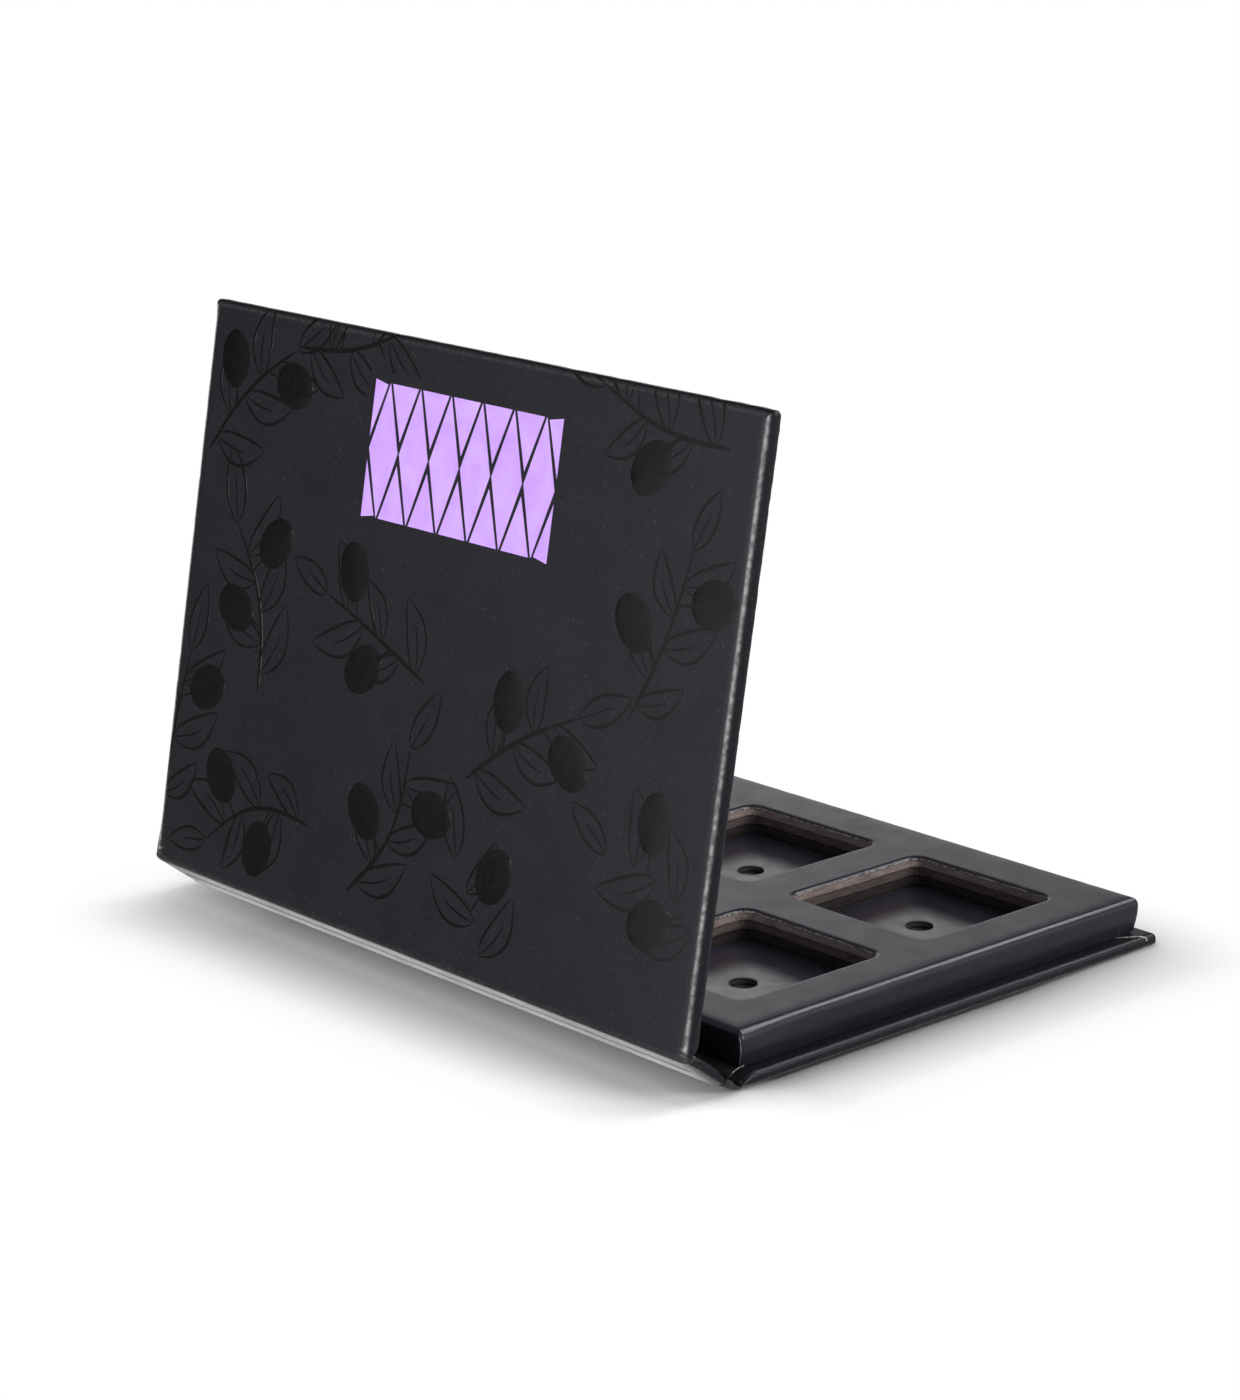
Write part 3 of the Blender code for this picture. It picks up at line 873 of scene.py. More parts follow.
def rim_wear_and_highlight(panel, places, rise):
    """Rubbing and painted highlight of a wrap: strongest on the outer arris and next to the crease.
    """
    start, end = PANEL_ENDS[panel]
    side = HALF_WIDTH - np.abs(places[..., 0])
    free = 1.0 + 0 * side if panel == "spine" else end - places[..., 1]
    inset = np.minimum(side, free)
    ridge = 0.70 * OUTER_ARRISES[panel]
    outer = np.hypot((inset - ridge) / (0.24 * MM), (rise - FACE) / (0.22 * MM))
    inner = np.hypot(inset, rise - TURN_IN_TOP) / (0.5 * MM)
    rubbed_and_lit = np.exp(-(outer**2)) + 0.06 * np.exp(-(inner**2))
    crumpled_and_lit = 0.6 * np.exp(-((places[..., 1] - start) / (1.6 * MM)))
    rubbed_and_lit = rubbed_and_lit * (np.where(side < free, 1.0, 0.08) + crumpled_and_lit)
    return np.clip(rubbed_and_lit * WEAR_AND_HIGHLIGHT_SHARES[panel], 0, 1)


def wrap_grid(panel, plan, seed):
    """The wrap's surface: one row for each point of the section, one column round the panel.

    The lid's sides have a broad arris, which narrows to that of the other panels next to its
    crease and at its free edge. The rim sways and is dented, but only inwards, so that nothing
    leaves the panel's box.
    """
    start, end = PANEL_ENDS[panel]
    places, rise, inset = lay_section(panel, plan, OUTER_ARRISES[panel])
    narrow, narrow_rise, _ = lay_section(panel, plan, OUTER_ARRISES["base"])
    nearer = (end - places[..., 1]) - (HALF_WIDTH - np.abs(places[..., 0]))
    share = smooth_share(places[..., 1] - start, 0.5 * MM, 6.0 * MM)
    share = share * smooth_share(nearer, -1.5 * MM, 2.5 * MM)
    places = narrow + (places - narrow) * share[..., None]
    rise = narrow_rise + (rise - narrow_rise) * share
    rim = np.exp(-((inset / (1.1 * MM)) ** 2)) * (1 - crease_weight(plan, panel))
    random = np.random.default_rng(seed)
    dented = random.integers(0, places.shape[1], DENT_COUNT)
    dent = dents(places, places[FLAT_INSETS.size + 6, dented], DENT_WIDTH)
    sway = uneven(places, ARRIS_WAVES, seed) + DENT_DEPTH * dent
    inward = np.where(rise < TURN_IN_TOP / 2, 1.0, -1.0) * (rise > FACE)
    rise = follow_nose(panel, places, rise)
    rise = rise + rim * np.maximum(sway, 0) * inward * nose(panel, places)
    wear = rim_wear_and_highlight(panel, places, rise)
    middle, half = np.array([0, (start + end) / 2]), np.array([HALF_WIDTH, (end - start) / 2])
    drawn = 1 - 0.8 * rim[..., None] * np.abs(sway)[..., None] / half
    places = middle + (places - middle) * drawn
    return places, press_rim(panel, places, rise), wear


# %% [markdown]
# ## Finishes
#
# A finish is a Principled shader with a little of everything that the real surface has: grain,
# patches that are a shade lighter, and a roughness that is not the same all over. All patterns
# read Object coordinates, so they are fixed to the piece in metres. A noise scale of 1000 makes
# features of about a millimetre.


# %% Start a finish
def make_finish(name, colour, roughness, metallic=0.0, specular=0.5, tint=(1.0, 1.0, 1.0)):
    """A Principled shader with the constants on its own sockets, and its node tree."""
    finish = bpy.data.materials.new(name)
    finish.use_nodes = True
    shader = finish.node_tree.nodes["Principled BSDF"]
    shader.inputs["Base Color"].default_value = (*colour, 1)
    shader.inputs["Roughness"].default_value = roughness
    shader.inputs["Metallic"].default_value = metallic
    shader.inputs["Specular IOR Level"].default_value = specular
    shader.inputs["Specular Tint"].default_value = (*tint, 1)
    finish.diffuse_color = (*colour, 1)
    print("finish:", name)
    return finish, finish.node_tree, shader


def noise(tree, scale, detail=3.0, stretch=(1, 1, 1)):
    """Noise on Object coordinates, stretched along the axes where the grain has a way."""
    place = add_node(tree, "ShaderNodeTexCoord").outputs["Object"]
    inputs = {"Vector": place, "Scale": stretch}
    inputs = {
        "Vector": add_node(tree, "ShaderNodeMapping", inputs).outputs["Vector"],
        "Scale": scale,
        "Detail": detail,
    }
    return add_node(tree, "ShaderNodeTexNoise", inputs).outputs["Fac"]


def blend_colours(tree, share, first, second):
    """Mix two colours, or two colour outputs, by a share."""
    mix = add_node(tree, "ShaderNodeMix", {"Factor": share}, data_type="RGBA")
    for label, colour in (("A", first), ("B", second)):
        socket = [s for s in mix.inputs if s.name == label and s.type == "RGBA"][0]
        if isinstance(colour, tuple):
            socket.default_value = (*colour, 1)
        else:
            tree.links.new(colour, socket)
    return [s for s in mix.outputs if s.type == "RGBA"][0]


# %% Let a finish vary
def cloudy(tree, pattern, first, second):
    """Two colours mixed by noise."""
    return blend_colours(tree, spread(tree, pattern, 0, 1), first, second)


def relief(tree, layers):
    """A chain of bumps: each layer is (height output, strength, depth in metres)."""
    inputs = {}
    for height, strength, depth in layers:
        inputs.update({"Height": height, "Strength": strength, "Distance": depth})
        inputs["Normal"] = add_node(tree, "ShaderNodeBump", inputs).outputs["Normal"]
    return inputs["Normal"]


def vary(tree, shader, tone=None, roughness=None, layers=()):
    """Let a shader's colour and roughness follow outputs, and its normal a chain of bumps."""
    if tone:
        tree.links.new(tone, shader.inputs["Base Color"])
    if roughness:
        tree.links.new(roughness, shader.inputs["Roughness"])
    if layers:
        tree.links.new(relief(tree, layers), shader.inputs["Normal"])


def wear_and_highlight_of(tree):
    """The rubbing and painted highlight that build_mesh stored on the points."""
    return add_node(tree, "ShaderNodeAttribute", attribute_name="wear").outputs["Fac"]


def shades(colour, *levels):
    """Darker and paler shades of a colour."""
    return [tuple(level * part for part in colour) for level in levels]


# %% [markdown]
# ### Paper and board
#
# The outer paper has a soft-touch film: almost black, very matt, with a grain finer than a
# tenth of a millimetre and a paler, smoother bloom where fingers and folds rub it, painted paler
# still on the arrises as a painted highlight. The tray's paper is the same black with a satin
# sheen. A cut edge shows the pale fibres of the paper's core, and the board is brownish grey with
# fibres that lie flat.


# %% Soft-touch wrap
def make_soft_touch():
    """Matt charcoal film with fine grain, faint mottling, specks of dust, and arrises painted pale,
    partly as rubbing and partly as a painted highlight.
    """
    finish, tree, shader = make_finish(
        "soft_touch_film", (0.010, 0.010, 0.012), 0.42, specular=0.23, tint=(0.92, 0.91, 1.0)
    )
    grain = noise(tree, 5200, 2)
    tone = cloudy(tree, noise(tree, 45, 4), (0.0042, 0.0040, 0.0062), (0.0062, 0.0059, 0.0084))
    grains = spread(tree, grain, 0, 1, 0.35, 0.65)
    tone = blend_colours(tree, grains, tone, (0.0080, 0.0076, 0.0105))
    # Arrises are painted pale grey, partly as rubbing and partly as a painted highlight.
    worn_and_lit = product(tree, wear_and_highlight_of(tree), spread(tree, noise(tree, 1300, 4), 0.35, 1.0, 0.4, 0.65))
    tone = blend_colours(tree, worn_and_lit, tone, (0.42, 0.41, 0.405))
    dust = spread(tree, noise(tree, 2600, 1), 0, 0.25, 0.66, 0.74)
    tone = blend_colours(tree, dust, tone, (0.09, 0.085, 0.08))
    layers = [(grain, 0.35, 0.000012), (noise(tree, 420, 2), 0.12, 0.00004)]
    vary(tree, shader, tone, spread(tree, noise(tree, 160, 5), 0.37, 0.45), layers)
    return finish


SOFT_TOUCH = make_soft_touch()


# %% Lining, tray and floor papers
def make_lining():
    """Plain black paper, matt, with short fibres."""
    finish, tree, shader = make_finish("lining_black", (0.010, 0.010, 0.012), 0.62, specular=0.3)
    fibres = noise(tree, 1500, 4, (1, 0.35, 0.35))
    tone = cloudy(tree, fibres, (0.008, 0.008, 0.010), (0.018, 0.0175, 0.020))
    roughness = spread(tree, noise(tree, 90, 3), 0.55, 0.7)
    vary(tree, shader, tone, roughness, [(fibres, 0.3, 0.00002)])
    return finish


def make_satin():
    """The tray's satin black paper: smoother than the wrap, with a slow swell of the board, and
    painted paler along its top arris as a painted highlight.
    """
    finish, tree, shader = make_finish(
        "satin_black", (0.013, 0.012, 0.021), 0.30, specular=0.37, tint=(0.87, 0.86, 1.0)
    )
    swell = noise(tree, 70, 3)
    tone = cloudy(tree, swell, (0.0105, 0.0100, 0.0158), (0.0150, 0.0143, 0.0215))
    # Along the top arris the paper is painted paler: a painted highlight.
    tone = blend_colours(tree, wear_and_highlight_of(tree), tone, (0.030, 0.028, 0.036))
    layers = [(noise(tree, 4200, 2), 0.22, 0.00001), (swell, 0.10, 0.0003)]
    vary(tree, shader, tone, spread(tree, noise(tree, 240, 5), 0.26, 0.34), layers)
    return finish


def make_floor_gloss():
    """Glossy black paper on the well floors, a little cloudy, with press marks."""
    finish, tree, shader = make_finish("floor_gloss", (0.017, 0.016, 0.024), 0.22, specular=1.0)
    shader.inputs["IOR"].default_value = 1.6
    cloud = noise(tree, 130, 4)
    tone = cloudy(tree, cloud, (0.014, 0.013, 0.021), (0.022, 0.020, 0.030))
    roughness = spread(tree, noise(tree, 500, 4), 0.18, 0.26)
    vary(tree, shader, tone, roughness, [(cloud, 0.12, 0.0002)])
    return finish


def make_cut_paper(name, paleness):
    """The pale, fibrous core that shows where black paper is cut. A paleness below 1 gives a darker
    copy, as painted shade.
    """
    (pale,), (dark,) = shades((0.62, 0.59, 0.58), paleness), shades((0.16, 0.145, 0.14), paleness)
    finish, tree, shader = make_finish(name, pale, 0.9, specular=0.2)
    fibres = noise(tree, 2400, 5)
    tone = blend_colours(tree, spread(tree, fibres, 0, 1, 0.38, 0.6), dark, pale)
    vary(tree, shader, tone, layers=[(fibres, 0.5, 0.00004)])
    return finish


def make_greyboard(name, paleness):
    """Raw cardboard: brownish grey, with flattened fibres and dark and pale specks. A paleness
    below 1 gives a darker copy, as painted shade.
    """
    (colour,) = shades((0.21, 0.165, 0.16), paleness)
    dark, light, speck = shades(colour, 0.70, 1.30, 1.9)
    finish, tree, shader = make_finish(name, colour, 0.92, specular=0.2)
    fibres = noise(tree, 900, 5, (0.35, 0.35, 2.2))
    specks = spread(tree, noise(tree, 3200, 2), 0, 1, 0.62, 0.70)
    tone = blend_colours(tree, specks, cloudy(tree, fibres, dark, light), speck)
    layers = [(fibres, 0.5, 0.00006), (noise(tree, 3600, 3), 0.4, 0.00003)]
    vary(tree, shader, tone, layers=layers)
    return finish


LINING = make_lining()
SATIN = make_satin()
FLOOR_GLOSS = make_floor_gloss()
CUT_PAPER = make_cut_paper("cut_paper", 1.0)
# The windows' cut edges take a darker copy of the cut paper: painted shade inside the wells.
SHADED_CUT_PAPER = make_cut_paper("shaded_cut_paper", 0.42)
GREYBOARD = make_greyboard("raw_greyboard", 1.1)
# The next two are darker copies of the raw board: painted shade for the lower tray boards, deep in
# the wells. The cover boards, hidden in their wraps, take the first of them too.
HALF_SHADED_BOARD = make_greyboard("half_shaded_greyboard", 0.42)
DEEP_SHADED_BOARD = make_greyboard("deep_shaded_greyboard", 0.10)


# %% Magnets, mirror, varnish and ink
def make_rubber():
    """Magnetic rubber: dull, brownish black, with fine mineral specks."""
    finish, tree, shader = make_finish("magnet_rubber", (0.03, 0.026, 0.025), 0.65, specular=0.3)
    specks = spread(tree, noise(tree, 3000, 3), 0, 1, 0.55, 0.7)
    vary(tree, shader, blend_colours(tree, specks, (0.026, 0.022, 0.021), (0.070, 0.062, 0.058)))
    return finish


def make_nickel():
    """Bright nickel on the closure magnets, with a few scratches."""
    finish, tree, shader = make_finish("bright_nickel", (0.56, 0.55, 0.53), 0.2, metallic=1.0)
    scratches = noise(tree, 1200, 4, (1, 0.1, 1))
    vary(tree, shader, roughness=spread(tree, scratches, 0.14, 0.34))
    return finish


def make_mirror_silver():
    """Silvered glass: nearly perfect, with a breath of haze."""
    finish, tree, shader = make_finish("mirror_glass", (0.90, 0.91, 0.92), 0.02, metallic=1.0)
    vary(tree, shader, roughness=spread(tree, noise(tree, 60, 4), 0.012, 0.035))
    return finish


def make_varnish():
    """Spot varnish: the film below it looks blacker, and the varnish itself is glossy."""
    finish, tree, shader = make_finish("spot_varnish", (0.0035, 0.0042, 0.0042), 0.16, specular=0.3)
    roughness = spread(tree, noise(tree, 900, 3), 0.12, 0.22)
    vary(tree, shader, None, roughness, [(noise(tree, 1500, 2), 0.1, 0.00002)])
    return finish


def make_ink():
    """Purple spot ink, satin, with a faint unevenness of the coat."""
    finish, tree, shader = make_finish("purple_ink", (0.60, 0.36, 1.0), 0.45, specular=0.3)
    tone = cloudy(tree, noise(tree, 300, 4), (0.56, 0.32, 0.95), (0.64, 0.40, 1.0))
    vary(tree, shader, tone, layers=[(noise(tree, 2500, 2), 0.15, 0.00001)])
    return finish


RUBBER = make_rubber()
NICKEL = make_nickel()
MIRROR_SILVER = make_mirror_silver()
VARNISH = make_varnish()
INK = make_ink()

# %% [markdown]
# ## Wrap the three panels
#
# The base's wrap is pierced by the six push-out holes, so its flat part is made of cells. Lid and
# spine have none, and one flat face closes each side of the sheet.


# %% Sheets with cells
PUSH_RADIUS = 2.0 * MM
HOLE_LIP = 0.02 * MM
SPINE_PLAN = ring_plan((3 * CELL_STEPS, 28, 3 * CELL_STEPS, 28), 8)


def keep(piece, body, slot, *nodes):
    """Fix a finished piece to its body and hide the CAD nodes it stands for. The slot is not used.
    """
    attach(piece, body)
    if nodes:
        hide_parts(*nodes)
    return piece


def closed(table, **looks):
    """The patches of a surface whose first and last rings are filled with flat faces."""
    return [patch(table, **looks), cap(table[0]), cap(table[-1])]


def pierced_cell(centre, low, high):
    """One cell of the base's sheets, from its lower edge through its round hole and back."""
    wide = np.array([9.0, 5.0, 3.0, 2.4, 2.1]) * MM
    radii = np.concatenate([wide, [PUSH_RADIUS, PUSH_RADIUS], wide[::-1]])
    under, over = np.full(wide.size + 1, low), np.full(wide.size + 1, high)
    rises = np.concatenate([under, [low + HOLE_LIP, high - HOLE_LIP], over])
    edge = cell_edge(centre)[None]
    places = np.concatenate([edge, round_rings(centre, radii), edge])
    return patch(on_panel("base", places, rises[:, None]))


def pierced(low, high):
    """Cells with push-out holes for a layer of the base."""
    return lambda centre: pierced_cell(centre, low, high)


def join_cells(places, rise, low, high):
    """Put the outline of all the cells before the first ring and after the last one."""
    edge = border_edge()[None]
    flat = np.ones((1, rise.shape[1]))
    return np.concatenate([edge, places, edge]), np.concatenate([flat * low, rise, flat * high])


print("push-out holes:", len(WELL_CENTRES), "of", round(2 * PUSH_RADIUS / MM, 2), "mm")


# %% Make the wraps
def make_wrap(panel, seed):
    """Wrap one cover panel."""
    places, rise, wear = wrap_grid(panel, SPINE_PLAN if panel == "spine" else BORDER_PLAN, seed)
    if panel == "base":
        places, rise = join_cells(places, rise, FACE, BODY)
        wear = np.pad(wear, ((1, 1), (0, 0)))
        parts = [patch(on_panel(panel, places, rise), wear=wear)]
        parts += [pierced_cell(centre, FACE, BODY) for centre in WELL_CENTRES]
    else:
        parts = closed(on_panel(panel, places, rise), wear=wear)
    piece = build_mesh(f"{panel}_wrap_paper", parts, [SOFT_TOUCH, CUT_PAPER])
    return keep(piece, panel, "soft_touch_wrap", f"{panel}_wrap")


for number, panel in enumerate(("base", "spine", "lid")):
    make_wrap(panel, 40 + number)


# %% [markdown]
# ## Layers of board and paper
#
# Inside the wrap lies the grey board, and over the turned-in edges lies the black lining. Both
# are flat layers, which follow the same noses down to the creases. One outline of a layer, from
# its lower face round its edge to its upper face, is carried round the panel's ring.


# %% Make flat layers
# A lining's cut edge is pale up to this distance from the crease, where it is seen. Farther on it
# is painted black like the lining, as painted shade.
CUT_REACH = 6.5 * MM
LAYER_ROUNDING = 0.04 * MM
EDGE_POINTS = 4


def layer_section(low, high, steps, rounding):
    """Insets and rises of a flat layer: out along its lower face, up its edge, and back."""
    edge = np.linspace(low + rounding, high - min(rounding, 0.3 * MM), EDGE_POINTS)
    inset = np.concatenate([steps[::-1], np.zeros(EDGE_POINTS), steps])
    rise = np.concatenate([np.full(steps.size, low), edge, np.full(steps.size, high)])
    return inset, rise


def make_layer(
    name, panel, reach, rises, finishes, cells=None, steps=EDGE_STEPS, corner=0.6 * MM,
    rounding=LAYER_ROUNDING, panel_edge=True,
):
    """A flat layer with reach (half width, start, end) and rises (low, high). The second of two
    finishes is for its cut edge near the crease."""
    half_width, start, end = reach
    inset, rise = layer_section(*rises, steps, rounding)
    plan = SPINE_PLAN if panel == "spine" else BORDER_PLAN
    radius = np.maximum(corner - inset, LEAST_CORNER)
    if panel_edge:
        radius = corner_radii(panel, corner, inset)
    places = ring(plan, (-half_width, start), (half_width, end), inset, radius)
    rise = follow_nose(panel, places, rise[:, None])
    if panel_edge:
        rise = press_rim(panel, places, rise)
    first = steps.size
    if cells:
        places, rise = join_cells(places, rise, *rises)
        first += 1
    points = on_panel(panel, places, rise)
    rim = np.zeros(len(points) - 1, int)
    rim[first - 1 : first + EDGE_POINTS] = len(finishes) - 1
    # Away from the crease the cut edge keeps the lining's black: painted shade.
    near = (np.abs(places[1, :, 1] - start) < CUT_REACH) | (panel == "spine")
    cut = rim[:, None] * (near & (crease_weight(plan, panel) == 0))
    parts = closed(points, finish=cut)
    if cells:
        parts = [patch(points, cut)] + [cells(centre) for centre in WELL_CENTRES]
    return build_mesh(name, parts, finishes)


# %% Boards and linings
BOARD_RISES = (BODY + 0.02 * MM, TURN_IN_TOP - PAPER - 0.015 * MM)
BOARD_GAP = PAPER + 0.13 * MM
BOARD_ROUNDING = 0.9 * MM
LINING_RISES = (TURN_IN_TOP + 0.01 * MM, TURN_IN_TOP + 0.17 * MM)
LINING_HALF_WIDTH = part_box("base_liner")[1].x


def make_board(panel):
    """The grey board of a panel, rounded enough to stay inside the arris of its wrap."""
    start, end = PANEL_ENDS[panel]
    reach = (HALF_WIDTH - BOARD_GAP, start + 0.1 * MM, end - BOARD_GAP)
    board = make_layer(
        f"{panel}_grey_board", panel, reach, BOARD_RISES, [HALF_SHADED_BOARD],
        cells=pierced(*BOARD_RISES) if panel == "base" else None,
        steps=EDGE_STEPS[3 if panel == "lid" else 2 :],
        rounding=min(OUTER_ARRISES[panel] + 0.02 * MM, BOARD_ROUNDING),
    )
    return keep(board, panel, "greyboard", f"{panel}_board")


def make_panel_lining(panel):
    """The lining paper of a panel, from its crease to the CAD lining's far edge."""
    start, end = PANEL_ENDS[panel]
    if panel != "spine":
        end = panel_reach(panel, f"{panel}_liner")[1]
    lining = make_layer(
        f"{panel}_lining_paper", panel, (LINING_HALF_WIDTH, start, end), LINING_RISES,
        [LINING, CUT_PAPER], cells=pierced(*LINING_RISES) if panel == "base" else None,
        corner=0.3 * MM,
    )
    return keep(lining, panel, "black_lining", f"{panel}_liner")


for panel in ("base", "spine", "lid"):
    make_board(panel)
    make_panel_lining(panel)

# %% [markdown]
# ## The creases
#
# Between two panels there is no board. Only the wrap and the lining cross the gap, glued face to
# face, and fold there. The strips below run from the foot of one nose round the bend to the foot
# of the next.


# %% Lay the path of a crease
BEND_STEPS = 14
RUN_STEPS = 8


def crease_path(first, second, feet, radius):
    """Points and inward ways, in the (y, z) plane, of the outer face across a crease: straight
    from one foot, round an arc that touches both panels' outer faces, and straight on."""
    near, far = (PANELS[panel] for panel in (first, second))
    axis = np.array(far[0][1:])
    near_way, far_way = np.array(near[1]), np.array(far[1])
    if first == "spine":
        near_way = -near_way
    turn = math.pi - math.acos(float(near_way @ far_way))
    height = CREASE_RISE - FACE
    bisector = near_way + far_way
    inward = bisector / np.linalg.norm(bisector)
    corner = axis - inward * height / math.cos(turn / 2)
    reach = radius * math.tan(turn / 2)
    centre = corner + inward * radius / math.cos(turn / 2)
    start = math.atan2(*(corner + near_way * reach - centre)[::-1])
    swing = (math.atan2(*(corner + far_way * reach - centre)[::-1]) - start + math.pi) % math.tau
    angle = start + (swing - math.pi) * np.linspace(0, 1, BEND_STEPS)
    arc_way = np.stack([np.cos(angle), np.sin(angle)], 1)
    over = height * math.tan(turn / 2)
    near_run = np.linspace(feet[0] + over, reach, RUN_STEPS + 1)[:-1, None]
    far_run = np.linspace(reach, feet[1] + over, RUN_STEPS + 1)[1:, None]
    points = [corner + near_way * near_run, centre + arc_way * radius, corner + far_way * far_run]
    ways = [np.tile(arc_way[0], (RUN_STEPS, 1)), arc_way, np.tile(arc_way[-1], (RUN_STEPS, 1))]
    return np.concatenate(points), -np.concatenate(ways)


def strip_section(half_width, low, high, count, ends=5):
    """Closed section of a strip across the hinge: x and rise, with rounded ends."""
    thick = (high - low) / 2
    run = np.sin(np.linspace(-math.pi / 2, math.pi / 2, count)) * (half_width - thick)
    turn = np.linspace(-math.pi / 2, math.pi / 2, ends)[1:-1]
    end_x, end_rise = half_width - thick + thick * np.cos(turn), low + thick + thick * np.sin(turn)
    x = np.concatenate([run, end_x, run[::-1], -end_x[::-1]])
    rise = np.concatenate([np.full(count, low), end_rise, np.full(count, high), end_rise[::-1]])
    return x, rise


print("points along a crease:", BEND_STEPS + 2 * RUN_STEPS)


# %% Make the crease strips
OUTER_STRIP = (FACE, FACE + 0.30 * MM)
INNER_STRIP = (FACE + 0.31 * MM, FACE + 0.47 * MM)
STRIP_COUNT = 72
RUFFLE_WAVES = [(1.7 * MM, 0.05 * MM), (3.1 * MM, 0.06 * MM)]
SLOW_WAVES = [(14 * MM, 0.012 * MM), (6 * MM, 0.008 * MM)]
# blend_strip works out points this far from the joint's axis on both panels.
BEND_REACH = 0.9 * MM
# Each crease: its panels, the feet of their noses, the radius of its bend, and the heights of
# the web of turned-in paper along the strip.
CREASES = {
    "lower": (
        ("base", "spine"), (NOSES["base"][0], NOSES["spine"][0]), 5.0 * MM,
        np.array([0.0, 0.42, 0.80, 0.93]) * MM,
    ),
    "upper": (
        ("spine", "lid"), (NOSES["spine_top"][0], NOSES["lid"][0]), 0.7 * MM,
        np.array([0.45, 0.75, 0.45]) * MM,
    ),
}


def strip_grid(pair, feet, radius, half_width, rises, web, seed):
    """The surface of a strip across a crease, and how pale its fold is painted.

    Near both ends of the hinge the turned-in paper stands up as a web. The rim falls off as on
    the panels beside it, and the fold sways most at its ends.
    """
    low, high = rises
    points, way = crease_path(*pair, feet, radius)
    x, rise = strip_section(half_width, low, high, STRIP_COUNT)
    up = np.clip((rise - low) / (high - low), 0, 1) * fullness(x)
    length = np.insert(np.cumsum(np.linalg.norm(np.diff(points, axis=0), axis=1)), 0, 0)
    share = length / length[-1]
    tall = np.interp(share, np.linspace(0, 1, len(web)), web)[:, None]
    drop = np.interp(share, (0, 1), [RIM_DROPS[panel] for panel in pair])[:, None]
    places = np.stack(np.broadcast_arrays(x, 0 * drop), -1)
    pressed = press_rim("spine", places, np.broadcast_to(rise, places.shape[:2]), drop)
    offset = pressed - FACE + tall * up
    flat = points[:, None, :] + way[:, None, :] * offset[..., None]
    table = np.concatenate([places[..., :1], flat], -1)
    edge = np.exp(-(half_width - np.abs(places[..., 0])) / (1.6 * MM))
    middle = np.sin(np.linspace(0, math.pi, len(points)))[:, None]
    sway = uneven(table, RUFFLE_WAVES, seed) * edge * middle
    sway += uneven(table, SLOW_WAVES, seed + 1) * middle
    table[..., 1:] += way[:, None, :] * np.maximum(sway, -0.02 * MM)[..., None]
    return table, 0.05 * middle * (1 + edge)


def blend_strip(piece, pair):
    """Find where a strip's bend would start and end on its panels, and fix its place into its mesh.
    The strip does not follow its joint.
    """
    axis = np.array(PANELS[pair[1]][0][1:])
    near_way = np.array(PANELS[pair[0]][1]) * (1 if pair[0] == "base" else -1)
    far_way = np.array(PANELS[pair[1]][1])
    start, end = axis + near_way * BEND_REACH, axis + far_way * BEND_REACH
    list(pair)
    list(start)
    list(end)
    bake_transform(piece)


for number, (place, (pair, feet, radius, web)) in enumerate(CREASES.items()):
    for layer, half_width, rises, seed, finish, slot, tall in (
        ("wrap", HALF_WIDTH, OUTER_STRIP, 60, SOFT_TOUCH, "soft_touch_wrap", web),
        ("lining", LINING_HALF_WIDTH, INNER_STRIP, 70, LINING, "black_lining", (0, 0)),
    ):
        table, wear = strip_grid(pair, feet, radius, half_width, rises, tall, seed + number)
        strip = build_mesh(f"{place}_crease_{layer}", closed(table, wear=wear), [finish])
        blend_strip(strip, pair)

# %% [markdown]
# ## The tray
#
# Three boards with six windows each are glued on each other, and satin paper is drawn over the
# top and down the sides. The windows of the paper are punched after gluing, so its rim is pressed
# down into the well and its cut edge shows pale and a little torn, painted darker here as painted
# shade. Below it the boards step back, each punched on its own, and the lower two are painted
# darker as painted shade deep in the wells.

# %% Sizes of the tray
TRAY_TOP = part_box("tray_wrap")[1].z
TRAY_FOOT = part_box("tray_wrap")[0].z
TRAY_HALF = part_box("tray_wrap")[1].x
TRAY_START, TRAY_END = panel_reach("base", "tray_wrap")
TRAY_CORNER = 0.8 * MM
TRAY_ARRIS = 1.15 * MM
TRAY_SKIN = 0.16 * MM
SHOULDER = 0.8 * MM
SHOULDER_DIP = 0.30 * MM
print("tray:", round(2 * TRAY_HALF / MM, 2), "x", round((TRAY_END - TRAY_START) / MM, 2), "mm")


# %% Windows
def torn(rings, centre, offsets, rises, height, seed):
    """Rings whose points close to the window stand in or out like torn fibres."""
    up = np.broadcast_to(rises[:, None, None], (*rings.shape[:2], 1))
    waves = [(length * MM, height) for length in (0.5, 0.9, 2.3, 0.27)]
    fibres = uneven(np.concatenate([rings, up], 2), waves, seed)
    near = (offsets < 0.6 * MM)[:, None, None]
    return centre + (rings - centre) * (1 + near * fibres[..., None] / HALF_WINDOW)


def window_cell(centre, offsets, rises, height, seed, finish=0):
    """One cell with a window: rings by offset and rise, from one face through the window."""
    rings = torn(window_rings(centre, offsets), centre, offsets, rises, height, seed)
    edge = cell_edge(centre)[None]
    rises = np.pad(rises, 1, mode="edge")[:, None]
    points = on_panel("base", np.concatenate([edge, rings, edge]), rises)
    finish = np.pad(np.broadcast_to(finish, len(offsets) - 1), 1)
    return patch(points, finish[:, None])


def shoulder_rise(offset):
    """Height of the pressed rim of the tray's paper over a distance from the window."""
    share = np.clip(1 - offset / SHOULDER, 0, 1)
    return -SHOULDER_DIP * (1 - np.sqrt(np.clip(1 - share**2, 0, 1)))


print("rim of a window:", np.round(shoulder_rise(np.linspace(0, SHOULDER, 5)) / MM, 2), "mm")


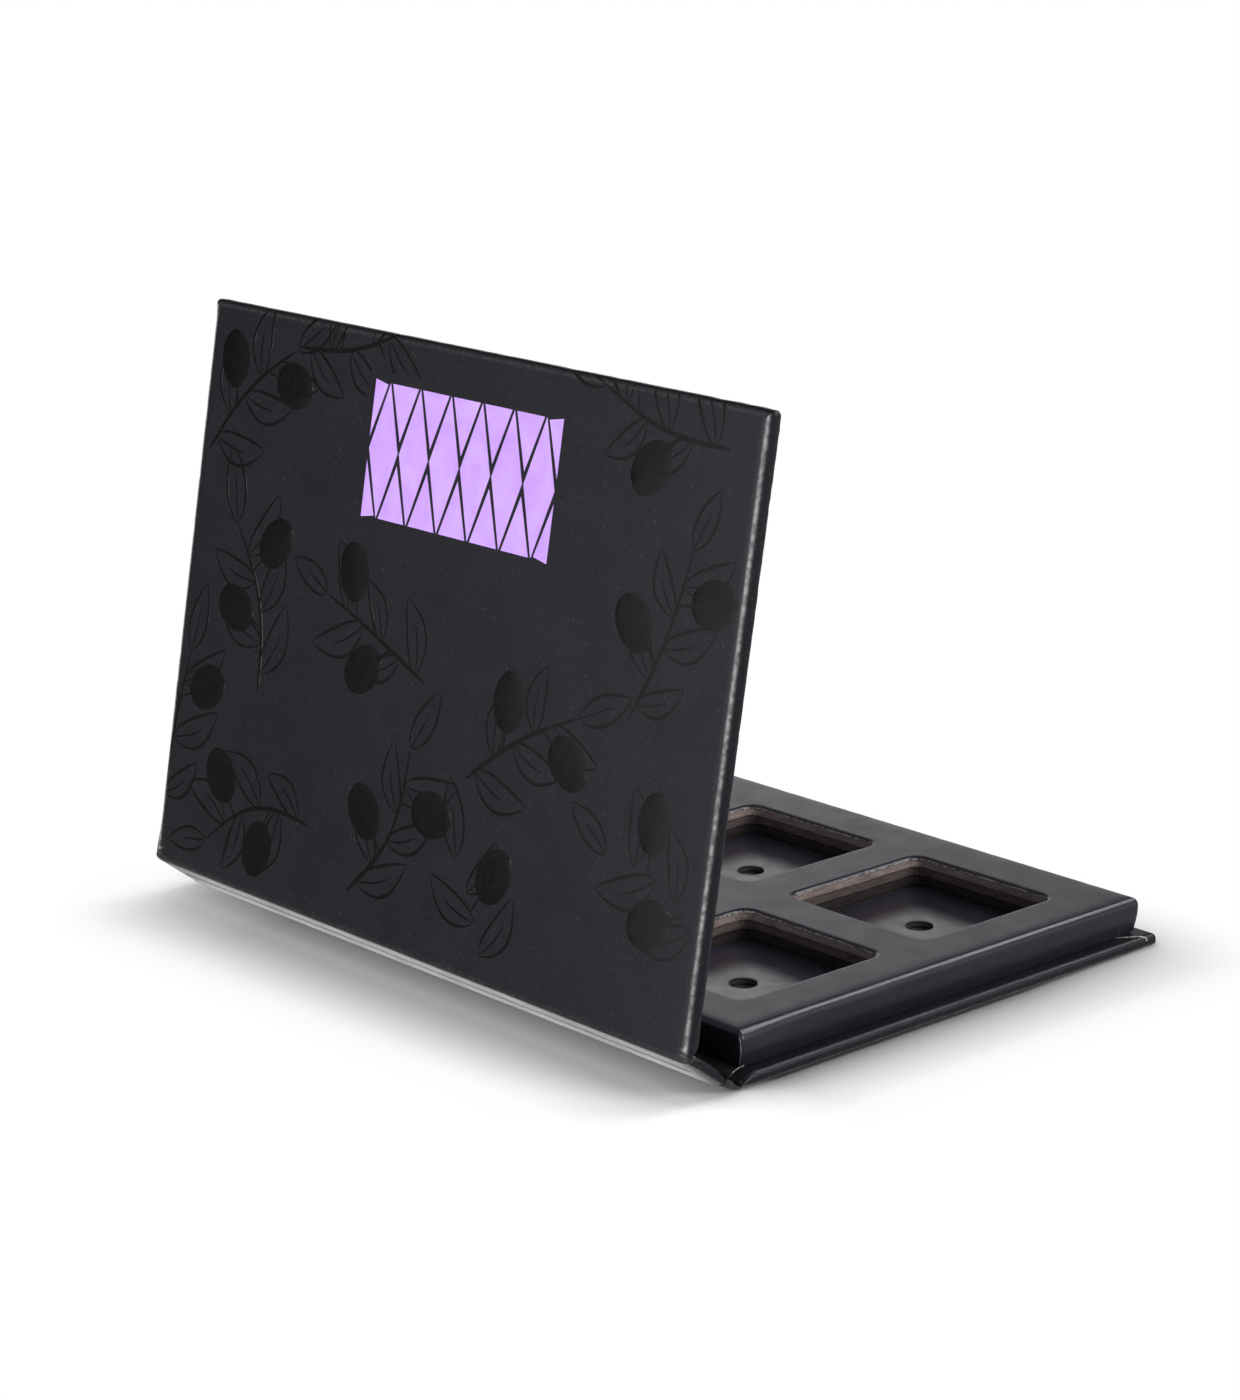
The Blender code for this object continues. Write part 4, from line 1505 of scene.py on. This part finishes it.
# %% The sides of the tray's paper
TRAY_WAVES = [(19 * MM, 0.03 * MM), (7 * MM, 0.02 * MM), (2.6 * MM, 0.012 * MM)]
PUFF = 0.45 * MM
RIM_FALL = 0.16 * MM
RIM_FALL_WIDTH = 3.0 * MM


def tray_section():
    """Insets and rises of the paper: over the top, round the arris, down the side, and back."""
    cosine, sine = arc_share(10)
    steps = np.array([3.0, 2.5, 2.2, 1.95]) * MM
    down = np.linspace(0, 1, 10)[1:]
    side = TRAY_TOP - TRAY_ARRIS - (TRAY_TOP - TRAY_ARRIS - TRAY_FOOT) * down
    swell = -0.06 * MM * np.sin(math.pi * np.clip(down * 1.15, 0, 1)) + 0.65 * MM * down**1.4
    flat = np.full(steps.size, TRAY_TOP)
    inner = TRAY_ARRIS - TRAY_SKIN
    inset = [steps, TRAY_ARRIS * (1 - sine), swell]
    rise = [flat, TRAY_TOP - TRAY_ARRIS * (1 - cosine), side]
    inset += [swell[::-1] + TRAY_SKIN, (TRAY_SKIN + inner * (1 - sine))[::-1], steps[::-1]]
    rise += [side[::-1], (TRAY_TOP - TRAY_SKIN - inner * (1 - cosine))[::-1]]
    rise.append(flat - TRAY_SKIN)
    return np.concatenate(inset), np.concatenate(rise)


def tray_sides():
    """Places and rises of the tray's paper outside the cells, and the inset of each row.

    The sides puff out towards the hinge and sway along the tray, and the top falls off a little
    towards its rim.
    """
    inset, rise = tray_section()
    low, high = np.array([-TRAY_HALF, TRAY_START]), np.array([TRAY_HALF, TRAY_END])
    places = ring(BORDER_PLAN, low, high, inset, np.maximum(TRAY_CORNER - inset, LEAST_CORNER))
    rise = np.broadcast_to(rise[:, None], places.shape[:2])
    depth = np.clip((TRAY_TOP - rise) / (TRAY_TOP - TRAY_FOOT), 0, 1)
    rim = np.exp(-np.clip(inset, 0, 1)[:, None] / (0.8 * MM))
    sides = np.sin(math.pi * np.clip(depth * 0.9, 0, 1)) * rim
    puff = PUFF * np.exp(-(((places[..., 1] - TRAY_START) / (8 * MM)) ** 2)) * sides
    puff = puff * (np.abs(places[..., 0]) > TRAY_HALF - 2 * MM)
    places[..., 0] += np.sign(places[..., 0]) * puff
    sway = uneven(places, TRAY_WAVES, 81)
    middle = (low + high) / 2
    places = middle + (places - middle) * (1 + (sides * sway)[..., None] / (40 * MM))
    fall = np.clip(1 - inset / RIM_FALL_WIDTH, 0, 1)[:, None] ** 2
    rise = rise - RIM_FALL * fall * (1 - depth)
    hollow = np.exp(-((inset / (1.2 * MM)) ** 2))[:, None] * uneven(places, ARRIS_WAVES, 82)
    return places, rise - np.maximum(hollow, 0) * (depth < 0.3), inset


print("the tray's paper:", tray_section()[0].size, "rows outside the cells")


# %% The tray's paper
def make_tray_paper():
    """Satin paper over the tray, with pressed, torn window rims and two pale cut corners."""
    places, rise, inset = tray_sides()
    places, rise = join_cells(places, rise, TRAY_TOP, TRAY_TOP - TRAY_SKIN)
    # A painted highlight along the tray's top arris, which the satin finish paints paler.
    arris = np.exp(-(((TRAY_TOP - rise) / (0.5 * MM)) ** 2))
    arris *= np.exp(-(np.pad(inset, 1, constant_values=9) / MM)[:, None])
    outer_rows = np.arange(len(rise) - 1) < inset.size // 2
    outside = outer_rows & (rise[:-1, 0] < TRAY_TOP - 0.5 * MM)
    corners = np.isin(np.arange(rise.shape[1]), (0, BORDER_STEPS[0]))
    cut = (outside[:, None] & corners).astype(int)
    parts = [patch(on_panel("base", places, rise), cut, arris)]
    offsets = np.array([3.0, 2.0, 1.3, 0.9, 0.8, 0.68, 0.56, 0.44, 0.33, 0.22, 0.12, 0.04]) * MM
    upper = TRAY_TOP + shoulder_rise(offsets)
    edge = np.array([0.02, -0.05, -0.10]) * MM
    edge_rise = TRAY_TOP - SHOULDER_DIP - np.array([0.03, 0.10, 0.17]) * MM
    all_offsets = np.concatenate([offsets, edge, offsets[::-1] + 0.02 * MM])
    all_rises = np.concatenate([upper, edge_rise, upper[::-1] - TRAY_SKIN])
    finish = np.zeros(all_offsets.size - 1, int)
    # The window's cut edge takes the darker cut paper: painted shade.
    finish[offsets.size - 1 : offsets.size + 2] = 2
    for number, centre in enumerate(WELL_CENTRES, 90):
        parts.append(window_cell(centre, all_offsets, all_rises, 0.014 * MM, number, finish))
    piece = build_mesh("tray_satin_paper", parts, [SATIN, CUT_PAPER, SHADED_CUT_PAPER])
    return keep(piece, "base", "satin_tray_paper", "tray_wrap")


make_tray_paper()


# %% The tray's boards
# The middle and lower boards take the darker copies of the board: painted shade.
TRAY_BOARDS = {
    "upper": {"setback": 0.05, "inset": 1.10, "dipped": True, "finish": GREYBOARD},
    "middle": {"setback": 0.45, "inset": 0.40, "dipped": False, "finish": HALF_SHADED_BOARD},
    "lower": {"setback": 0.40, "inset": 0.95, "dipped": False, "finish": DEEP_SHADED_BOARD},
}


def make_tray_board(which, setback, inset, dipped, finish):
    """One window board: raw, fibrous window walls, and edges hidden under the paper."""
    node = f"tray_{which}_board"
    low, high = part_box(node)[0].z + 0.02 * MM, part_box(node)[1].z - 0.02 * MM
    top_offsets = np.array([2.5, 1.2, 0.8, 0.6, 0.4, 0.25, 0.12, 0.04]) * MM
    top_rises = high + (shoulder_rise(top_offsets) if dipped else 0 * top_offsets)
    wall = np.linspace(top_rises[-1] - 0.04 * MM, low + 0.06 * MM, 9)
    bulge = 0.05 * MM * np.cos(np.linspace(-1.4, 1.4, wall.size))
    foot_offsets = np.array([0.06, 0.3, 1.2, 2.5]) * MM
    offsets = np.concatenate([top_offsets, 0.05 * MM - bulge, foot_offsets]) + setback * MM
    rises = np.concatenate([top_rises, wall, np.full(foot_offsets.size, low)])

    def cells(centre):
        seed = int(1000 * (high + abs(centre).sum()) / MM) % 997
        return window_cell(centre, offsets[::-1], rises[::-1], 0.022 * MM, seed)

    board = make_layer(
        f"tray_{which}_greyboard", "base",
        (TRAY_HALF - inset * MM, TRAY_START + inset * MM, TRAY_END - inset * MM),
        (low, high), [finish], cells, np.array([0.05, 0.3, 0.8]) * MM, panel_edge=False,
    )
    return keep(board, "base", "greyboard", node)


for which, sizes in TRAY_BOARDS.items():
    make_tray_board(which, **sizes)


# %% Magnetic sheet
SHEET_INSET = 1.0 * MM


def make_magnetic_sheet():
    """The rubber sheet under the wells, with the push-out holes."""
    low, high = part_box("magnet_sheet")[0].z + 0.01 * MM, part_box("magnet_sheet")[1].z
    sheet = make_layer(
        "magnetic_rubber_sheet", "base",
        (TRAY_HALF - SHEET_INSET, TRAY_START + SHEET_INSET, TRAY_END - SHEET_INSET),
        (low, high), [RUBBER], pierced(low, high), np.array([0.05, 0.3, 1.0]) * MM,
        panel_edge=False,
    )
    return keep(sheet, "base", "magnetic_rubber", "magnet_sheet")


make_magnetic_sheet()

# %% Well floors
FLOOR_HALF = 13.4 * MM
FLOOR_CORNER = 1.8 * MM
FLOOR_WAVES = [(17 * MM, 0.012 * MM), (9 * MM, 0.008 * MM)]


def make_well_floor(number, centre):
    """Glossy paper square: pressed down a little round its hole and curled down at its edges."""
    low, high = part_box(f"well_floor_{number}")[0].z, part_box(f"well_floor_{number}")[1].z
    inset = np.array([0.0, 0.04, 0.2, 0.6, 1.4, 2.8]) * MM
    corner = np.full(inset.size, FLOOR_CORNER)
    square = ring(CELL_PLAN, centre - FLOOR_HALF, centre + FLOOR_HALF, inset, corner)
    radii = np.append(np.array([8.0, 5.0, 3.6, 2.9, 2.5, 2.25, 2.1]) * MM, PUSH_RADIUS)
    top = np.concatenate([square, round_rings(centre, radii)])
    from_hole = np.concatenate([np.full(inset.size, 9.0), (radii - PUSH_RADIUS) / MM])
    rise = high - 0.06 * MM * np.exp(-from_hole / 0.6)
    rise[:2] = high - 0.05 * MM, high - 0.01 * MM
    rise[-1] -= 0.03 * MM
    rise = rise[:, None] + uneven(top, FLOOR_WAVES, 100 + number)
    under = np.full(rise.shape, low - 0.08 * MM)
    places = np.concatenate([top, top[::-1], top[:1]])
    points = on_panel("base", places, np.concatenate([rise, under, rise[:1]]))
    piece = build_mesh(f"well_floor_paper_{number}", [patch(points)], [FLOOR_GLOSS])
    return keep(piece, "base", "gloss_floor_paper", f"well_floor_{number}")


for number, centre in enumerate(WELL_CENTRES, 1):
    make_well_floor(number, centre)

# %% [markdown]
# ## Mirror and magnets
#
# A thin glass mirror lies inside the lid, with a ground bevel round it. The closure magnets sit in
# the boards, so they stay as they are in the CAD model and only get their nickel.


# %% Mirror
GLASS = (LINING_RISES[1] + 0.02 * MM, LINING_RISES[1] + 0.62 * MM)
GLASS_CORNER = 3.0 * MM
BEVEL_WIDTH = 0.25 * MM
BEVEL_DEPTH = 0.17 * MM


def make_mirror():
    """A sheet of glass, silvered at the back, with a narrow bevel."""
    low, high = GLASS
    start, end = panel_reach("lid", "mirror")
    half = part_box("mirror")[1].x
    inset = np.array([1.0 * MM, 0.05 * MM, 0, 0, 0, BEVEL_WIDTH, 0.3 * MM, 1.0 * MM])
    side = np.linspace(low + 0.05 * MM, high - BEVEL_DEPTH, 3)
    rise = np.concatenate([[low, low], side, np.full(3, high)])
    radius = np.maximum(GLASS_CORNER - inset, LEAST_CORNER)
    places = ring(BORDER_PLAN, (-half, start), (half, end), inset, radius)
    points = on_panel("lid", places, rise[:, None])
    glass = build_mesh("lid_mirror_glass", closed(points), [MIRROR_SILVER], sharp=20)
    return keep(glass, "lid", "mirror_silver", "mirror")


make_mirror()

# %% Magnets
for node in ("lid_magnet_left", "lid_magnet_right", "tray_magnet_left", "tray_magnet_right"):
    magnet = frame["nodes"][node].data
    magnet.materials.clear()
    magnet.materials.append(NICKEL)
    print(node, "is in nickel")

# %% [markdown]
# ## Prints
#
# The cover is printed all over with glossy varnish on the matt film: twigs with fruits and
# narrow leaves, only a little darker than the ground. A harlequin panel in purple ink stands near
# the lid's free edge. Varnish and ink are films of a hundredth of a millimetre, so each stroke
# is a flat ribbon with soft edges that is carried along a curve, wide or narrow as needed.


# %% Draw strokes
FILM = 0.010 * MM
# Strokes that start at one point are drawn apart by this, so that they stay separate pieces.
APART = 0.003 * MM
# A stroke's section: places across its width from -1 to 1, and heights in films.
STROKE_ACROSS = np.array([-1.0, -0.93, 0.0, 0.93, 1.0, 0.0])
STROKE_HEIGHT = np.array([0.0, 0.9, 1.0, 0.9, 0.0, -1.2])
# Prints go round an arris up to this turn, in radians.
ARRIS_LIMIT = 1.15


def on_cover(panel, places, lift):
    """Points on the outer face. Past its flat part they go round the arris."""
    radii = np.array([OUTER_ARRISES[panel], OUTER_ARRISES["base"]])
    x_limit, far_limit = np.array([HALF_WIDTH, PANEL_ENDS[panel][1]]) - radii
    flat_x = np.clip(places[..., 0], -x_limit, x_limit)
    flat = np.stack([flat_x, np.minimum(places[..., 1], far_limit)], -1)
    over = places - flat
    share = np.abs(over) / radii
    chosen = share == share.max(-1, keepdims=True)
    turn = np.clip(share.max(-1), 0, ARRIS_LIMIT)
    radius = np.where(chosen[..., 0], *radii)
    at = flat + np.sign(over) * chosen * ((radius + lift) * np.sin(turn))[..., None]
    rise = FACE + radius - (radius + lift) * np.cos(turn)
    return on_panel(panel, at, press_rim(panel, at, rise))


def stroke(panel, path, width, lift=FILM, surface=on_cover):
    """One stroke of film along a path, with its width at each point, closed at both ends."""
    width = np.pad(np.broadcast_to(width, len(path)), 1)
    way = np.gradient(path, axis=0)
    way /= np.linalg.norm(way, axis=1, keepdims=True)
    path, way = (np.pad(row, ((1, 1), (0, 0)), mode="edge") for row in (path, way))
    path[:2] += APART * way[:2]
    path[-2:] -= APART * way[-2:]
    side = np.stack([-way[:, 1], way[:, 0]], 1)
    places = path[:, None] + side[:, None] * (width[:, None] * STROKE_ACROSS / 2)[..., None]
    height = lift * STROKE_HEIGHT * (width > 0)[:, None]
    return patch(surface(panel, places, height))


def turned(points, angle, centre=(0, 0)):
    """Turn points by an angle, then move them to a centre."""
    cosine, sine = math.cos(angle), math.sin(angle)
    return points @ np.array([[cosine, sine], [-sine, cosine]]) + centre


def taper(count, power=0.6):
    """A width share that runs out at both ends."""
    return 0.15 + 0.85 * np.sin(np.linspace(0, math.pi, count)) ** power


print("points of a stroke's section:", STROKE_ACROSS.size)

# %% Room for the twigs
HARLEQUIN = {"x": (-20.5, 19.5), "along": (58.6, 77.6), "columns": 6, "gap": 0.9}
HARLEQUIN_MARGIN = 1.2


def in_harlequin(places):
    """True for places on the ground of the purple panel, which the twigs leave bare."""
    inside = np.ones(len(places), bool)
    for value, (low, high) in zip(places.T / MM, (HARLEQUIN["x"], HARLEQUIN["along"])):
        inside &= (value > low - HARLEQUIN_MARGIN) & (value < high + HARLEQUIN_MARGIN)
    return inside


def cut_to_panel(panel, path, width, whole):
    """The part of a path up to where it leaves the panel or meets the purple one, as a stroke.
    A whole stroke is drawn in full or not at all."""
    start, end = PANEL_ENDS[panel]
    width = np.broadcast_to(width, len(path))
    room = np.minimum(HALF_WIDTH - np.abs(path[:, 0]), end - path[:, 1])
    inside = (room > 0.05 * MM) & (path[:, 1] - width / 2 > start + 0.6 * MM)
    if panel == "lid":
        inside &= ~in_harlequin(path)
    count = len(path) if inside.all() else int(np.argmin(inside))
    enough = len(path) if whole else 4
    return [stroke(panel, path[:count], width[:count])] if count >= enough else []


# %% Leaves and fruits
LEAF_POINTS = 20
VEIN_POINTS = 13


def leaf(root, side, random, size):
    """A leaf's paths and widths: its two outlines and its vein."""
    lean = side * random.uniform(0.65, 0.95)
    length = random.uniform(9.0, 12.0) * MM * size
    along = np.linspace(0, 1, LEAF_POINTS)
    half = 0.19 * length * np.sin(math.pi * along**0.85) ** 0.8
    sweep = 0.10 * length * side * np.sin(math.pi * along)
    for edge in (-1, 1):
        outline = np.stack([along * length, edge * half + sweep], 1)
        yield turned(outline, lean, root), 0.52 * MM * taper(LEAF_POINTS), False
    vein = np.stack([along * length, sweep], 1)[:VEIN_POINTS]
    yield turned(vein, lean, root), 0.36 * MM * taper(VEIN_POINTS), False


def fruit(root, side, random, size):
    """A fruit's paths and widths: its stalk, and its body, an ellipse drawn as one stroke."""
    lean = side * random.uniform(0.9, 1.2)
    stalk = np.linspace(0, 1, 6)[:, None] * np.array([2.6 * MM * size, 0])
    yield turned(stalk, lean, root), 0.34 * MM, False
    turn = np.linspace(0.02, math.pi - 0.02, 19)
    long, wide = 4.3 * MM * size, 6.6 * MM * size
    body = np.stack([2.4 * MM * size + long * (1 - np.cos(turn)), 0 * turn], 1)
    yield turned(body, lean, root), wide * np.sin(turn), True


# %% Twigs
TWIG_LENGTH = 25 * MM
STEM_POINTS = 30
LEAF_PLACES = (0.10, 0.27, 0.45, 0.63, 0.80, 1.0)
FRUIT_PLACES = (0.36, 0.70)


def twig(panel, centre, angle, seed, size=1.0):
    """Strokes of one twig: a bowed stem, outlined leaves on both sides and two solid fruits."""
    random = np.random.default_rng(seed)
    bow = random.uniform(-0.16, 0.16)

    def stem_at(part):
        part = np.asarray(part, float)
        return np.stack([part - 0.5, bow * np.sin(math.pi * part)], -1) * size * TWIG_LENGTH

    share = np.linspace(0, 1, STEM_POINTS)
    drawn = [(stem_at(share), (0.85 - 0.35 * share) * MM * taper(STEM_POINTS, 0.3), False)]
    for number, part in enumerate(LEAF_PLACES):
        side = 0.12 if part == 1.0 else (-1) ** number
        drawn += leaf(stem_at(part), side, random, size)
    for number, part in enumerate(FRUIT_PLACES):
        drawn += fruit(stem_at(part), (-1) ** (number + 1), random, size)
    strokes = []
    for path, width, whole in drawn:
        strokes += cut_to_panel(panel, turned(path, angle, centre), width, whole)
    return strokes


# %% Print the twigs
# Each twig: x and along in millimetres, and its turn in radians.
LID_TWIGS = [
    (-44, 53, 1.9), (-50, 17, 0.5), (-20, 33, 2.6), (-14, 4, 1.2), (13, 42, 0.35), (8, 17, 2.0),
    (43, 41, 1.2), (47, 71, 2.4), (35, 9, -0.3), (-40, 81, 0.2), (25, 83, 2.9), (57, 20, 1.7),
]
BASE_PLACES = [
    (-51, 24), (-17.6, 22), (17.6, 26), (51, 22), (-51, 62), (-17.6, 62), (17.6, 60), (51, 64),
]
BASE_TWIGS = [
    (x, along, 1.57 + 0.25 * (-1) ** number) for number, (x, along) in enumerate(BASE_PLACES)
]


def print_twigs(panel, places, seed):
    """The varnish of one panel, as one piece."""
    strokes = []
    for number, (x, along, angle) in enumerate(places):
        strokes += twig(panel, (x * MM, along * MM), angle, seed + number)
    piece = build_mesh(f"{panel}_varnish_twigs", strokes, [VARNISH], sharp=10)
    return keep(piece, panel, "soft_touch_wrap")


print_twigs("lid", LID_TWIGS, 200)
print_twigs("base", BASE_TWIGS, 240)

# %% Print the harlequin panel
LOZENGE_POINTS = 15
LEAST_STROKE = 0.03 * MM


def print_harlequin():
    """Tall purple lozenges in a row, with half lozenges between them above and below."""
    low, high = np.array(HARLEQUIN["x"]) * MM
    start, end = np.array(HARLEQUIN["along"]) * MM
    columns, gap = HARLEQUIN["columns"], HARLEQUIN["gap"] * MM
    pitch = (high - low) / columns
    share = np.linspace(0, 1, LOZENGE_POINTS)
    strokes = []
    for column in range(columns):
        x = np.full(share.size, low + (column + 0.5) * pitch)
        width = (pitch - 0.35 * gap) * (1 - np.abs(2 * share - 1)) + LEAST_STROKE
        strokes.append(stroke("lid", np.stack([x, start + (end - start) * share], 1), width))
    depth = (end - start) / 2 - 1.9 * gap
    for column in range(columns + 1):
        # The outermost half lozenges are only half as wide, and end on the panel's side.
        part = 0.5 if column in (0, columns) else 1.0
        shift = {0: 0.25, columns: -0.25}.get(column, 0.0)
        full_width = (pitch - 1.1 * gap) * (1 - share)
        x = low + column * pitch + shift * full_width
        width = part * (full_width + LEAST_STROKE)
        for edge, way in ((start, 1), (end, -1)):
            strokes.append(stroke("lid", np.stack([x, edge + way * depth * share], 1), width))
    piece = build_mesh("lid_purple_harlequin", strokes, [INK], sharp=10)
    return keep(piece, "lid", "purple_foil")


print_harlequin()

# %% [markdown]
# ## Mitres
#
# At a free corner the turned-in edges of the wrap overlap. The upper flap is cut at a slant, and
# its raw edge shows as a short pale line on the black paper.


# %% Lay the mitres
# Places of the cut edge, in millimetres inward from the side and from the free edge.
MITRE = np.array([(-0.3, 2.45), (0.1, 2.55), (0.55, 2.95), (1.5, 4.3), (3.1, 6.6), (3.6, 7.3)])
MITRE_POINTS = 36
MITRE_LIFT = 0.05 * MM
# A mitre stays this far inside the panel's side.
SIDE_GAP = 0.004 * MM


def on_turn_in(panel, places, lift):
    """Points on the turned-in paper of the inner face. Past its flat part they go round the
    inner arris of the side."""
    arris = INNER_ARRISES[panel]
    flat = np.clip(places[..., 0], arris - HALF_WIDTH, HALF_WIDTH - arris)
    turn = np.clip(np.abs(places[..., 0] - flat) / arris, 0, 1.4)
    x = flat + np.sign(flat) * (arris + lift) * np.sin(turn)
    x = np.clip(x, SIDE_GAP - HALF_WIDTH, HALF_WIDTH - SIDE_GAP)
    rise = TURN_IN_TOP - arris + (arris + lift) * np.cos(turn)
    return on_panel(panel, np.stack([x, places[..., 1]], -1), rise)


def lay_mitre(panel):
    """The two cut edges of a panel, from the side of the board inwards."""
    end = PANEL_ENDS[panel][1]
    knot = np.linspace(0, len(MITRE) - 1, MITRE_POINTS)
    inward, back = (np.interp(knot, np.arange(len(MITRE)), column) for column in MITRE.T)
    inward = np.where(inward < 0, inward * INNER_ARRISES[panel] / INNER_ARRISES["base"], inward)
    back = back + 0.05 * np.sin(knot * 4.1) + 0.03 * np.sin(knot * 9.3)
    width = (0.34 - 0.035 * knot) * MM * taper(MITRE_POINTS, 0.3)
    strokes = []
    for side in (-1, 1):
        path = np.stack([side * (HALF_WIDTH - inward * MM), end - back * MM], 1)
        strokes.append(stroke(panel, path, width, MITRE_LIFT, on_turn_in))
    return keep(build_mesh(f"{panel}_mitre_edges", strokes, [CUT_PAPER]), panel, "soft_touch_wrap")


lay_mitre("base")
lay_mitre("lid")
